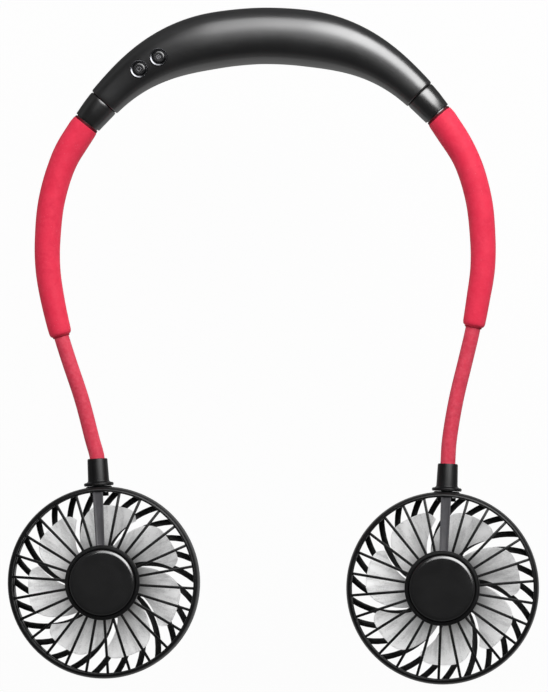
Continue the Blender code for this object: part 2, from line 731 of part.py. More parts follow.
def make_pin_notch(side, head):
    radius = PIN_RADIUS + GAP
    near, far = PIN_NOTCH_ENDS
    profile = ((0, far), (radius, far), (radius, near), (0, near))
    return make_cutter(along_neck(f"{side}_pin_notch", profile, None, head))


def rib_outline(angle, radii, widths, sweep=0.0, steps=1):
    """Returns the outline of a rib from its inner to its outer end, with its inner end swept back."""
    near, far = [], []
    for k in range(steps + 1):
        share = k / steps
        radius = radii[0] + (radii[1] - radii[0]) * share
        half = math.degrees((widths[0] + (widths[1] - widths[0]) * share) / 2 / radius)
        middle = angle + sweep * (1 - share)
        lean = 1 / math.cos(math.atan(math.radians(sweep) * radius / (radii[1] - radii[0])))
        near.append(circle(radius, middle - half * lean, 0)[:2])
        far.append(circle(radius, middle + half * lean, 0)[:2])
    return near + far[::-1]


def slope_ribs(obj, heights):
    """Lifts a flat plate of ribs so that it climbs from the rim to the hub."""
    outer, inner = HEAD_RADIUS - RIM_LIP / 2, HUB_RADIUS
    outer_z, inner_z = heights
    for vertex in obj.data.vertices:
        radius = math.hypot(vertex.co.x, vertex.co.y)
        share = (outer - radius) / (outer - inner)
        vertex.co.z += outer_z + (inner_z - outer_z) * share


def make_intake_grille(side, head, pin_notch):
    """Makes the grille on the motor's side: a rim, straight ribs, a broad rib over the leads, and a hub."""
    rim, wall, lip = HEAD_RADIUS, HEAD_RADIUS - RIM_WALL, HEAD_RADIUS - RIM_LIP
    low = MID_Z + GAP / 2
    rim_profile = (
        (rim - 0.0016, RIM_TOP), (rim - 0.0005, RIM_TOP - 0.0010), (rim, RIM_TOP - 0.0042), (rim, low),
        (wall, low), (wall, RIM_TOP - 0.0028), (lip, RIM_TOP - 0.0020), (lip, RIM_TOP - 0.0003),
    )
    grille = turned(f"{side}_intake_grille", rim_profile, "black_grille", steps=ROUND_STEPS, parent=head)
    motor_bore, cap_bore, shaft_hole = MOTOR_RADIUS + GAP, HUB_CAP_RADIUS + GAP, 0.0035
    motor_wall, floor_top = MOTOR_RADIUS + 0.0021, MOTOR_FLOOR + HUB_FLOOR
    hub_profile = (
        (HUB_RADIUS - 0.0006, HUB_RING_TOP), (HUB_RADIUS, HUB_RING_TOP - 0.0006), (HUB_RADIUS, RIM_TOP - GAP),
        (motor_wall, MOTOR_FLOOR + 0.0025), (motor_wall, MOTOR_FLOOR), (shaft_hole, MOTOR_FLOOR),
        (shaft_hole, floor_top), (motor_bore, floor_top), (motor_bore, HUB_SEAT), (cap_bore, HUB_SEAT),
        (cap_bore, HUB_RING_TOP),
    )
    hub = turned(f"{side}_intake_hub", hub_profile, None, steps=HUB_STEPS, parent=head)
    radii = (HUB_RADIUS - 0.0007, HEAD_RADIUS - RIM_LIP / 2)
    step = 360 / INTAKE_RIBS
    outlines = [rib_outline(90 + step * k, radii, [INTAKE_RIB_WIDTH] * 2) for k in range(1, INTAKE_RIBS)]
    ribs = as_mesh(flat_outlines(f"{side}_intake_ribs", outlines, INTAKE_RIB_DEPTH, parent=head))
    slope_ribs(ribs, INTAKE_RIB_HEIGHTS)
    spoke_outline = rib_outline(90, radii, SPOKE_WIDTHS)
    spoke = as_mesh(flat_outlines(f"{side}_intake_spoke", [spoke_outline], SPOKE_DEPTH, parent=head))
    slope_ribs(spoke, SPOKE_HEIGHTS)
    for piece in (hub, ribs, spoke):
        boolean(grille, make_cutter(piece), "UNION")
    boolean(grille, pin_notch, "DIFFERENCE")
    boolean(grille, make_lead_hole(side, head), "DIFFERENCE")
    boolean(grille, make_motor_holes(f"{side}_floor_holes", head, MOTOR_FLOOR, 0.006), "DIFFERENCE")
    shade_round(grille)


def make_lead_hole(side, head):
    """Makes the cutter for the hole by which the motor leads enter the hub, under the broad rib."""
    route = ((0, MOTOR_RADIUS - 0.001, LEAD_HEIGHT), (0, HUB_RADIUS + 0.002, LEAD_HEIGHT))
    hole = tube(f"{side}_lead_hole", route, CABLE_RADIUS + GAP, None, sides=10, parent=head)
    return make_cutter(as_mesh(hole))


def make_motor_holes(name, head, middle, depth):
    """Makes the cutter for the holes of the two motor screws."""
    mesh = bpy.data.meshes.new(name)
    shape = bmesh.new()
    radius = MOTOR_SCREW_HOLE_RADIUS
    for sign in (-1, 1):
        place = Matrix.Translation((sign * MOTOR_SCREW_OFFSET, 0, middle))
        bmesh.ops.create_cone(
            shape, cap_ends=True, segments=8, radius1=radius, radius2=radius, depth=depth, matrix=place
        )
    shape.to_mesh(mesh)
    shape.free()
    return make_cutter(add_part(name, mesh, None, parent=head))


def make_outlet_grille(side, head, pin_notch):
    """Makes the grille on the far side, which the fan lies on: a wall, swirled ribs and a hub disc."""
    rim, wall = HEAD_RADIUS, HEAD_RADIUS - RIM_WALL
    low_rim, top = rim - RIM_DRAFT, MID_Z - GAP / 2
    rim_profile = (
        (rim, top), (low_rim, 0.0014), (low_rim - 0.0001, 0.0004), (low_rim - 0.0003, 0.0), (wall, 0.0),
        (wall, top),
    )
    grille = turned(f"{side}_outlet_grille", rim_profile, "black_grille", steps=ROUND_STEPS, parent=head)
    hub_radius, high = HUB_RADIUS, OUTLET_HUB_HEIGHT
    hub_profile = (
        (0, high), (hub_radius - 0.0006, high), (hub_radius, high - 0.0006), (hub_radius, 0.0), (0, 0.0),
    )
    hub = turned(f"{side}_outlet_hub", hub_profile, None, steps=HUB_STEPS, parent=head)
    radii = (HUB_RADIUS - 0.0007, wall + 0.0002)
    step = 360 / OUTLET_RIBS
    outer_ends = [90 + OUTLET_RIB_PHASE + step * k for k in range(OUTLET_RIBS)]
    outlines = [rib_outline(angle, radii, OUTLET_RIB_WIDTHS, OUTLET_RIB_SWEEP, 2) for angle in outer_ends]
    ribs = as_mesh(flat_outlines(f"{side}_outlet_ribs", outlines, OUTLET_RIB_DEPTH, parent=head))
    slope_ribs(ribs, (OUTLET_RIB_HEIGHT, OUTLET_RIB_HEIGHT))
    for piece in (hub, ribs):
        boolean(grille, make_cutter(piece), "UNION")
    boolean(grille, pin_notch, "DIFFERENCE")
    shade_round(grille)


def make_motor(side, head):
    """Makes the hub cap, the motor under it, and the two screws and the leads of the motor."""
    floor = MOTOR_FLOOR + HUB_FLOOR + GAP
    cap, cap_low = HUB_CAP_RADIUS, HUB_SEAT + GAP
    hub_cap_profile = (
        (0, HUB_CAP_TOP), (cap - 0.0013, HUB_CAP_TOP), (cap - 0.0004, HUB_CAP_TOP - 0.0005),
        (cap, HUB_CAP_TOP - 0.0013), (cap, cap_low), (0, cap_low),
    )
    turned(f"{side}_hub_cap", hub_cap_profile, "black_cap", steps=26, parent=head)
    can, hole = MOTOR_RADIUS, SHAFT_RADIUS + GAP
    can_profile = (
        (0, MOTOR_TOP), (can, MOTOR_TOP), (can, floor + 0.0008), (can - 0.0008, floor), (hole, floor),
        (hole, SHAFT_HOLE_TOP), (0, SHAFT_HOLE_TOP),
    )
    motor = turned(f"{side}_motor_can", can_profile, "steel", steps=16, parent=head)
    boolean(motor, make_motor_holes(f"{side}_motor_threads", head, floor, 0.0036), "DIFFERENCE")
    end_low, end_top = MOTOR_TOP + GAP, HUB_SEAT - GAP
    end_profile = ((0, end_top), (can - 0.0014, end_top), (can - 0.0006, end_low), (0, end_low))
    turned(f"{side}_motor_end_cap", end_profile, "motor_plastic", steps=16, parent=head)
    near, far = SHAFT_ENDS
    shaft_profile = ((0, far), (SHAFT_RADIUS, far), (SHAFT_RADIUS, near), (0, near))
    turned(f"{side}_motor_shaft", shaft_profile, "steel", steps=10, parent=head)
    shank, head_radius = MOTOR_SCREW_RADII
    seat, face = MOTOR_FLOOR - GAP, MOTOR_FLOOR - GAP - 0.0009
    screw_profile = (
        (0, MOTOR_SCREW_TIP), (shank, MOTOR_SCREW_TIP), (shank, seat), (head_radius, seat),
        (head_radius, face), (0, face),
    )
    for number, sign in enumerate((-1, 1), 1):
        place = (sign * MOTOR_SCREW_OFFSET, 0, 0)
        turned(f"{side}_motor_screw_{number}", screw_profile, "steel", steps=8, parent=head, location=place)
    leads = (
        (0, 0.0456, MID_Z), (0, 0.0410, MID_Z), (0, 0.0368, MID_Z), (0, 0.0354, 0.0132),
        (0, 0.0344, 0.0156), (0, 0.0325, 0.0176), (0, 0.0290, 0.0184), (0, 0.0220, 0.0190),
        (0, 0.0150, LEAD_HEIGHT), (0, 0.0107, LEAD_HEIGHT),
    )
    tube(f"{side}_motor_leads", leads, CABLE_RADIUS, "cable_black", sides=6, parent=head)


def make_impeller(side, head):
    """Makes the impeller: a cup that fits on the shaft, with seven pitched and swept blades."""
    low, top = CUP_HEIGHTS
    outer, bore = IMPELLER_HUB_RADIUS, SHAFT_RADIUS + GAP
    boss, boss_top, floor = CUP_BOSS_RADIUS, top - 0.0010, low + CUP_WALL + GAP
    cup_profile = (
        (outer, top), (outer, low + 0.0010), (outer - 0.0010, low), (0, low), (0, low + 0.0009),
        (bore, low + 0.0009), (bore, boss_top), (boss, boss_top), (boss, floor), (outer - CUP_WALL, floor),
        (outer - CUP_WALL, top),
    )
    impeller = turned_cup(f"{side}_impeller", cup_profile, "pale_blade", head)
    blades = make_blades(f"{side}_blades", head)
    boolean(impeller, make_cutter(blades), "UNION")
    shade_round(impeller)


def turned_cup(name, profile, finish, head):
    """Turns a cup whose floor crosses the axis, from the profile's one axis point round to the other."""
    start = next(i for i, (radius, _) in enumerate(profile) if radius == 0)
    opened = profile[start + 1 :] + profile[: start + 1]
    return turned(name, opened, finish, steps=18, parent=head)


def make_blades(name, head):
    """Makes all the blades as one cutter: pitched and swept sheets, thickened."""
    chord_steps, radial_steps = 3, 3
    root = IMPELLER_HUB_RADIUS - BLADE_ROOT
    mesh = bpy.data.meshes.new(name)
    shape = bmesh.new()
    low, high = BLADE_HEIGHTS
    for blade in range(IMPELLER_BLADES):
        first = 360 / IMPELLER_BLADES * blade
        rows = []
        for j in range(radial_steps + 1):
            out = j / radial_steps
            radius = root + (IMPELLER_TIP_RADIUS - root) * out
            row = []
            for i in range(chord_steps + 1):
                chord = i / chord_steps
                trim = BLADE_CORNER * out**4 * (2 * chord - 1) ** 4
                angle = first + BLADE_SWEEP * (1 - out) + BLADE_SPAN * chord
                place = circle(radius - trim, angle, low + (high - low) * chord)
                row.append(shape.verts.new(place))
            rows.append(row)
        for lower, upper in zip(rows, rows[1:]):
            for i in range(chord_steps):
                shape.faces.new((lower[i], lower[i + 1], upper[i + 1], upper[i]))
    shape.to_mesh(mesh)
    shape.free()
    blades = add_part(name, mesh, None, parent=head)
    solidify = blades.modifiers.new("thickness", "SOLIDIFY")
    solidify.thickness = BLADE_THICKNESS
    solidify.offset = 0
    return blades


def make_neck_collar(side, tilt):
    """Makes the neck collar, which the arm ends in, under an empty on the axis that the fan tilts about."""
    neck = neck_aligned_empty(f"{side}_neck_axis", side, tilt)
    turn = Matrix.Rotation(-neck.rotation_euler.z, 3, "Z")
    middle = turn @ (Vector((*HEAD_CENTRE[side], MID_Z)) - tilt)
    base = HEAD_RADIUS + GAP
    low, high = NECK_COLLAR_RADII
    top = NECK_COLLAR_TOP
    pin_bore = PIN_RADIUS + GAP
    sleeve_bore = THIN_SLEEVE_RADIUS + GAP
    pin_top, sleeve_end = PIN_ENDS[1] + GAP, top - THIN_SLEEVE_INTO_COLLAR - GAP
    neck_bore, flange_top = GOOSENECK_RADIUS + GAP, base + FLANGE_HEIGHT
    profile = (
        (high - 0.0004, top), (high, top - 0.0004), (low, flange_top), (FLANGE_RADIUS, flange_top),
        (FLANGE_RADIUS, base), (pin_bore, base), (pin_bore, pin_top), (neck_bore, pin_top),
        (neck_bore, sleeve_end), (sleeve_bore, sleeve_end), (sleeve_bore, top),
    )
    along_neck(f"{side}_neck_collar", profile, "black_shell", neck, middle)


def make_swivel_pin(side, head):
    """Makes the hollow pin on which the head swivels in its neck collar, held by the two grilles."""
    low, high = PIN_ENDS
    flange_radius, flange_height = PIN_FLANGE
    flange_top = low + flange_height
    profile = (
        (PIN_RADIUS, high), (PIN_RADIUS, flange_top), (flange_radius, flange_top), (flange_radius, low),
        (PIN_BORE, low), (PIN_BORE, high),
    )
    along_neck(f"{side}_swivel_pin", profile, "black_grille", head)


clear_scene()
parts = new_collection("neck_fan")
cutters = new_collection("cutters")
make_band()
make_shell_screws()
make_arm_collars()
make_controls()
make_cell()
for arm_side in SIDES:
    make_arm(arm_side)
    make_head(arm_side)
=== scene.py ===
import math

import bpy
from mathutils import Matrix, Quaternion, Vector


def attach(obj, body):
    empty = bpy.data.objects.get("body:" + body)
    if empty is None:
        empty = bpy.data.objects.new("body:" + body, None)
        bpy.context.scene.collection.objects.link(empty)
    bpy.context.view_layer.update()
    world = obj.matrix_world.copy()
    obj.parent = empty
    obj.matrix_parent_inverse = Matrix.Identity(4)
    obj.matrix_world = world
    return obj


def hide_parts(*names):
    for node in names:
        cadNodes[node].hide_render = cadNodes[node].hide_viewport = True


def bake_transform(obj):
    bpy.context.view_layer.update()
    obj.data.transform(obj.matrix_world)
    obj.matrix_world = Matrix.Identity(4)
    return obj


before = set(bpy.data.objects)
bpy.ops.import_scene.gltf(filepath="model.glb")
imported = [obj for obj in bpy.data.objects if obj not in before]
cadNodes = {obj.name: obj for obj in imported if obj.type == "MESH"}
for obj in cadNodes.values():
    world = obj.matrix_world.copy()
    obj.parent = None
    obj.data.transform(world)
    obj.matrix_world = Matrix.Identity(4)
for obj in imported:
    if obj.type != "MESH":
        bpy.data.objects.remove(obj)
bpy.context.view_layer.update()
print("frame loaded with", len(cadNodes), "CAD nodes")

# the same lay-out as the CAD, in metres and degrees
sides = {"left": -1, "right": 1}
layout = {
    "gap": 0.0003,
    "midHeight": 0.012,
    "headCentre": {"left": (-0.0723, -0.1012), "right": (0.0723, -0.1035)},
    "neckAngle": {"left": 93.3, "right": 87.6},
    "headRadius": 0.0410,
    "neckCollarTop": 0.0530,
}
midHeight, headRadius = layout["midHeight"], layout["headRadius"]


# modelling helpers
def endEdit():
    bpy.ops.object.mode_set(mode="OBJECT")


def clearSelection():
    if bpy.context.object and bpy.context.object.mode == "EDIT":
        endEdit()
    bpy.ops.object.select_all(action="DESELECT")


def pick(piece):
    clearSelection()
    piece.select_set(True)
    bpy.context.view_layer.objects.active = piece


def selectAll():
    bpy.ops.mesh.select_all(action="SELECT")


def startEdit(piece):
    # edit mode, with everything selected
    pick(piece)
    bpy.ops.object.mode_set(mode="EDIT")
    bpy.ops.mesh.select_mode(type="VERT")
    selectAll()


def applyPlace():
    bpy.ops.object.transform_apply(location=True, rotation=True, scale=True)


def newPiece(name, add, scale=None, **settings):
    # a Blender primitive; where it has a scale, its place, turn and scale are put into its mesh
    clearSelection()
    add(**settings)
    piece = bpy.context.object
    piece.name = name
    if scale:
        piece.scale = scale
        applyPlace()
    return piece


def boxPiece(name, size, place=(0, 0, 0), turn=0.0):
    piece = newPiece(name, bpy.ops.mesh.primitive_cube_add, size=1, location=place)
    piece.scale = size
    piece.rotation_euler.z = math.radians(turn)
    applyPlace()
    return piece


def selectPoints(piece, test):
    pick(piece)
    for polygon in piece.data.polygons:
        polygon.select = False
    for edge in piece.data.edges:
        edge.select = False
    for vertex in piece.data.vertices:
        vertex.select = test(vertex.co)
    bpy.ops.object.mode_set(mode="EDIT")
    bpy.ops.mesh.select_mode(type="VERT")


def selectFaces(piece, test):
    # the select mode has to be faces before edit mode opens on them
    startEdit(piece)
    bpy.ops.mesh.select_mode(type="FACE")
    bpy.ops.mesh.select_all(action="DESELECT")
    endEdit()
    for polygon in piece.data.polygons:
        polygon.select = test(polygon.normal)
    bpy.ops.object.mode_set(mode="EDIT")


def turnSelected(degrees, centre=(0, 0, 0)):
    # without a window the rotate tool turns the other way
    bpy.ops.transform.rotate(value=-math.radians(degrees), orient_axis="Z", center_override=centre)


def smoothByAngle(piece, degrees=32):
    pick(piece)
    bpy.ops.object.shade_smooth_by_angle(angle=math.radians(degrees))
    return piece


mergeDistance = 0.000004


def settle(piece, smooth=32):
    # recalculates normals and puts the piece's place into its mesh
    startEdit(piece)
    bpy.ops.mesh.remove_doubles(threshold=mergeDistance)
    bpy.ops.mesh.normals_make_consistent(inside=False)
    endEdit()
    pick(piece)
    applyPlace()
    return smoothByAngle(piece, smooth) if smooth else piece


def closeEnds(ends):
    # the open ring edges are bridged to each other, or filled
    bpy.ops.mesh.select_mode(type="EDGE")
    bpy.ops.mesh.select_all(action="DESELECT")
    bpy.ops.mesh.select_non_manifold()
    if ends == "bridge":
        bpy.ops.mesh.bridge_edge_loops()
    if ends == "fill":
        bpy.ops.mesh.fill_holes(sides=0)
    bpy.ops.mesh.select_mode(type="VERT")


def turnedPiece(name, rings, steps=96, ends="bridge", smooth=32):
    # rings are (radius, height), turned about Z
    radius, height = rings[0]
    place = (0, 0, height)
    piece = newPiece(name, bpy.ops.mesh.primitive_circle_add, vertices=steps, radius=radius, location=place)
    startEdit(piece)
    for (fromRadius, fromHeight), (toRadius, toHeight) in zip(rings, rings[1:]):
        rise = (0, 0, toHeight - fromHeight)
        share = toRadius / fromRadius
        bpy.ops.mesh.extrude_region_move(TRANSFORM_OT_translate={"value": rise})
        bpy.ops.transform.resize(value=(share, share, 1), center_override=(0, 0, toHeight))
    closeEnds(ends)
    endEdit()
    return settle(piece, smooth)


def ringsFrom(first, second, *steps):
    # pairs for turnedPiece and sweptPiece, given as millimetres off one corner
    return [(first + a / 1000, second + b / 1000) for a, b in steps]


def pathPlace(line, distance):
    # a point on a line of points, which runs on straight past both ends
    left = distance
    for a, b in zip(line, line[1:]):
        step = (b - a).length
        if left <= step:
            return a + (b - a) * (left / step)
        left -= step
    return line[-1] + (line[-1] - line[-2]).normalized() * left


def pathHeading(line, distance, reach=0.0006):
    ahead = pathPlace(line, distance + reach) - pathPlace(line, distance - reach)
    return math.degrees(math.atan2(ahead.y, ahead.x))


def lineLength(line):
    return sum((b - a).length for a, b in zip(line, line[1:]))


def firstLoop(name, radius, place, heading, corners, squareness):
    # the first section stands across the path: a circle, or a square with its corners rounded off
    stand = {"location": place, "rotation": (math.pi / 2, 0, math.radians(heading + 90))}
    if not squareness:
        return newPiece(name, bpy.ops.mesh.primitive_circle_add, vertices=corners, radius=radius, **stand)
    piece = newPiece(name, bpy.ops.mesh.primitive_plane_add, size=2 * radius, **stand)
    startEdit(piece)
    bpy.ops.mesh.bevel(offset=radius, affect="VERTICES", segments=corners // 4, profile=squareness["corner"],
                       clamp_overlap=False)
    selectAll()
    bpy.ops.mesh.remove_doubles(threshold=radius * 0.001)
    bpy.ops.mesh.delete(type="ONLY_FACE")
    selectAll()
    bpy.ops.transform.resize(value=(1, 1, squareness["depth"]), center_override=place)
    endEdit()
    return piece


def sweptPiece(name, line, rings, corners=48, ends="bridge", squareness=None, smooth=32):
    # rings are (distance along the line, radius); running back gives the piece its bore
    places = [(pathPlace(line, distance), pathHeading(line, distance), radius) for distance, radius in rings]
    place, heading, radius = places[0]
    piece = firstLoop(name, radius, place, heading, corners, squareness)
    startEdit(piece)
    for nextPlace, nextHeading, nextRadius in places[1:]:
        bpy.ops.mesh.extrude_region_move(TRANSFORM_OT_translate={"value": nextPlace - place})
        turnSelected(nextHeading - heading, nextPlace)
        share = nextRadius / radius
        bpy.ops.transform.resize(value=(share, share, share), center_override=nextPlace)
        place, heading, radius = nextPlace, nextHeading, nextRadius
    closeEnds(ends)
    endEdit()
    return settle(piece, smooth)


def useModifier(piece, kind, **settings):
    pick(piece)
    modifier = piece.modifiers.new(kind.lower(), kind)
    for key, value in settings.items():
        setattr(modifier, key, value)
    bpy.ops.object.modifier_apply(modifier=modifier.name)
    return piece


def roundEdges(piece, width, segments=3, angle=40):
    useModifier(piece, "BEVEL", width=width, segments=segments, limit_method="ANGLE",
                angle_limit=math.radians(angle), harden_normals=False, miter_outer="MITER_ARC")
    return smoothByAngle(piece, 42)


def cutAway(piece, tool):
    useModifier(piece, "BOOLEAN", operation="DIFFERENCE", solver="EXACT", object=tool)
    bpy.data.objects.remove(tool)
    return smoothByAngle(piece)


def copyPiece(piece, name):
    pick(piece)
    bpy.ops.object.duplicate(linked=False)
    bpy.context.object.name = name
    return bpy.context.object


def placePiece(piece, place=(0, 0, 0), turn=(0, 0, 0)):
    piece.rotation_euler = [math.radians(angle) for angle in turn]
    piece.location = place
    pick(piece)
    applyPlace()
    return piece


def joinPieces(name, *pieces):
    pick(pieces[0])
    for piece in pieces[1:]:
        piece.select_set(True)
    bpy.ops.object.join()
    bpy.context.object.name = name
    return bpy.context.object


def copiesRound(piece, angles):
    # copies turned about Z, joined to one piece
    copies = [placePiece(copyPiece(piece, piece.name), turn=(0, 0, angle)) for angle in angles]
    bpy.data.objects.remove(piece)
    return joinPieces(copies[0].name, *copies)


def finishPiece(piece, finish, body, replaced=(), blend=None):
    piece.data.materials.clear()
    piece.data.materials.append(finishes[finish])
    if replaced:
        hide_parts(*replaced)
    if blend:
        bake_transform(piece)
    else:
        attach(piece, body)
    return piece


# nodes: values fill the first sockets in order and inputs go by name, linked if they are sockets
def putNode(tree, kind, *values, settings=None, **inputs):
    node = tree.nodes.new("ShaderNode" + kind)
    node.location = (220 * len(tree.nodes) - 1500, 0)
    for key, value in (settings or {}).items():
        setattr(node, key, value)
    for key, value in [*enumerate(values), *inputs.items()]:
        socket = node.inputs[key if isinstance(key, int) else key.replace("_", " ")]
        if isinstance(value, bpy.types.NodeSocket):
            tree.links.new(value, socket)
        elif value is not None:
            socket.default_value = value
    return node


def doMath(tree, operation, first, second, **settings):
    settings["operation"] = operation
    return putNode(tree, "Math", first, second, settings=settings).outputs["Value"]


def doVector(tree, operation, *values, gives="Vector", **inputs):
    node = putNode(tree, "VectorMath", *values, settings={"operation": operation}, **inputs)
    return node.outputs[gives]


def mapRange(tree, value, fromLow, fromHigh, low=0.0, high=1.0, **settings):
    return putNode(tree, "MapRange", value, fromLow, fromHigh, low, high, settings=settings).outputs["Result"]


def mixFloat(tree, factor, low, high):
    return mapRange(tree, factor, 0.0, 1.0, low, high)


def mixValues(tree, factor, first, second):
    return putNode(tree, "Mix", factor, None, first, second, settings={"data_type": "FLOAT"}).outputs[0]


def mixColours(tree, factor, first, second, blendType="MIX"):
    skipped = [None] * 5
    settings = {"data_type": "RGBA", "blend_type": blendType}
    return putNode(tree, "Mix", factor, *skipped, first, second, settings=settings).outputs[2]


def noise(tree, vector, **inputs):
    return putNode(tree, "TexNoise", vector, **inputs).outputs["Fac"]


# shared shader groups
def newGroup(name, **takes):
    tree = bpy.data.node_groups.new(name, "ShaderNodeTree")
    for key, value in takes.items():
        kind = "NodeSocketFloat" if isinstance(value, float) else "NodeSocketVector"
        socket = tree.interface.new_socket(name=key.replace("_", " "), in_out="INPUT", socket_type=kind)
        socket.default_value = value
    return tree, tree.nodes.new("NodeGroupInput").outputs


def closeGroup(tree, **gives):
    for key in gives:
        tree.interface.new_socket(name=key, in_out="OUTPUT", socket_type="NodeSocketFloat")
    leave = tree.nodes.new("NodeGroupOutput")
    for key, value in gives.items():
        tree.links.new(value, leave.inputs[key])
    return tree


def makeMouldGrain():
    # fine spark-eroded grain of a moulding tool, with a slow waviness under it
    tree, entry = newGroup("mouldGrain", Vector=(0, 0, 0), Grain_Scale=1400.0, Wave_Scale=60.0, Wave_Share=0.3)
    grain = noise(tree, entry["Vector"], Scale=entry["Grain Scale"], Detail=4.0, Roughness=0.6)
    wave = noise(tree, entry["Vector"], Scale=entry["Wave Scale"], Detail=2.0, Roughness=0.5)
    return closeGroup(tree, Height=mixValues(tree, entry["Wave Share"], grain, wave))


def makeDustSpecks():
    # sparse lint and scuffs, as a mask
    tree, entry = newGroup("dustSpecks", Vector=(0, 0, 0), Scale=500.0, Size=0.16)
    spots = putNode(tree, "TexVoronoi", entry["Vector"], Scale=entry["Scale"], Randomness=1.0)
    dots = mapRange(tree, spots.outputs["Distance"], 0.04, entry["Size"], 1.0, 0.0)
    patches = mapRange(tree, noise(tree, entry["Vector"], Scale=90.0, Detail=3.0), 0.48, 0.62)
    return closeGroup(tree, Mask=doMath(tree, "MULTIPLY", dots, patches))


def makeWornTone():
    # handling marks: slow patches, sharpened, that change how glossy and how light a surface is
    tree, entry = newGroup("wornTone", Vector=(0, 0, 0), Scale=45.0, Stretch=(1, 1, 1))
    drawn = doVector(tree, "MULTIPLY", entry["Vector"], entry["Stretch"])
    broad = noise(tree, drawn, Scale=entry["Scale"], Detail=5.0, Roughness=0.62, Distortion=0.6)
    return closeGroup(tree, Mask=mapRange(tree, broad, 0.38, 0.66))


def flatFromCentre(tree, entry):
    away = doVector(tree, "SUBTRACT", entry["Vector"], entry["Centre"])
    return doVector(tree, "MULTIPLY", away, (1, 1, 0))


def makeTurningMarks():
    # fine rings round a centre, as a lathe or a polishing pad leaves them
    tree, entry = newGroup("turningMarks", Vector=(0, 0, 0), Centre=(0, 0, 0))
    radius = doVector(tree, "LENGTH", flatFromCentre(tree, entry), gives="Value")
    rings = putNode(tree, "TexNoise", settings={"noise_dimensions": "1D"}, Scale=1.0, Detail=3.0,
                    W=doMath(tree, "MULTIPLY", radius, 1500.0))
    return closeGroup(tree, Height=rings.outputs["Fac"], Radius=radius)


def makeRadialStreaks():
    # streaks that run outwards from a centre, as plastic flows into a blade's mould
    tree, entry = newGroup("radialStreaks", Vector=(0, 0, 0), Centre=(0, 0, 0))
    flat = flatFromCentre(tree, entry)
    radius = doVector(tree, "LENGTH", flat, gives="Value")
    spread = doVector(tree, "SCALE", doVector(tree, "NORMALIZE", flat), Scale=11.0)
    run = doVector(tree, "SCALE", (0, 0, 1), Scale=doMath(tree, "MULTIPLY", radius, 90.0))
    streaks = noise(tree, doVector(tree, "ADD", spread, run), Scale=1.0, Detail=4.0, Roughness=0.65)
    return closeGroup(tree, Mask=mapRange(tree, streaks, 0.42, 0.68), Radius=radius)


shaderGroups = {
    "mouldGrain": makeMouldGrain(),
    "dustSpecks": makeDustSpecks(),
    "wornTone": makeWornTone(),
    "turningMarks": makeTurningMarks(),
    "radialStreaks": makeRadialStreaks(),
}
print("shader groups made")


# materials
def linear(red, green, blue):
    # a colour as seen on a screen, 0 to 255, to the shader's linear values
    def channel(value):
        value = value / 255
        return value / 12.92 if value <= 0.04045 else ((value + 0.055) / 1.055) ** 2.4
    return (channel(red), channel(green), channel(blue), 1.0)


def grey(value):
    return linear(value, value, value)


lintColour, pinkLint, sheenTint = linear(150, 150, 152), linear(250, 170, 180), linear(255, 196, 206)


def startMaterial(name, **shaderValues):
    material = bpy.data.materials.new(name)
    material.use_nodes = True
    tree = material.node_tree
    shader = tree.nodes["Principled BSDF"]
    for key, value in shaderValues.items():
        shader.inputs[key.replace("_", " ")].default_value = value
    return material, tree, shader, putNode(tree, "TexCoord").outputs["Object"]


def useGroup(tree, groupName, vector, **inputs):
    settings = {"node_tree": shaderGroups[groupName]}
    return putNode(tree, "Group", settings=settings, Vector=vector, **inputs).outputs


def linkSurface(tree, shader, colour, roughness, height, strength, distance):
    bump = putNode(tree, "Bump", Height=height, Strength=strength, Distance=distance)
    sources = {"Base Color": colour, "Roughness": roughness, "Normal": bump.outputs["Normal"]}
    for name, source in sources.items():
        tree.links.new(source, shader.inputs[name])


def mouldedPlastic(name, colour, worn, roughness, grain=1400.0, bump=0.12, dust=0.12, gloss=0.5, ior=1.5):
    # satin moulded plastic: grain in the bump, slow change of gloss, and a few specks of lint
    material, tree, shader, spot = startMaterial(name, Specular_IOR_Level=gloss, IOR=ior)
    mould = useGroup(tree, "mouldGrain", spot, Grain_Scale=grain)["Height"]
    tone = useGroup(tree, "wornTone", spot)["Mask"]
    lint = mixFloat(tree, useGroup(tree, "dustSpecks", spot)["Mask"], 0.0, dust)
    handled = mixColours(tree, tone, linear(*colour), linear(*worn))
    linkSurface(tree, shader, mixColours(tree, lint, handled, lintColour), mixFloat(tree, tone, *roughness),
                mould, bump, 0.0002)
    return material


def siliconeSleeve(name, colour, deep, pale, mottle):
    # soft dusty silicone: fine mottling, slow tone change, sheen at grazing angles
    material, tree, shader, spot = startMaterial(name, Specular_IOR_Level=0.25, Sheen_Weight=0.05,
                                                 Sheen_Roughness=0.35, Sheen_Tint=sheenTint)
    mould = useGroup(tree, "mouldGrain", spot, Grain_Scale=900.0, Wave_Scale=mottle, Wave_Share=0.45)["Height"]
    tone = useGroup(tree, "wornTone", spot, Scale=150.0)["Mask"]
    lint = mixFloat(tree, useGroup(tree, "dustSpecks", spot, Scale=700.0, Size=0.2)["Mask"], 0.0, 0.22)
    deeper = mixColours(tree, mixFloat(tree, tone, 0.0, 0.5), linear(*colour), linear(*deep))
    mottled = mixColours(tree, mapRange(tree, mould, 0.42, 0.68, 0.0, 0.35), deeper, linear(*pale))
    linkSurface(tree, shader, mixColours(tree, lint, mottled, pinkLint), mixFloat(tree, tone, 0.5, 0.64),
                mould, 0.22, 0.00025)
    return material


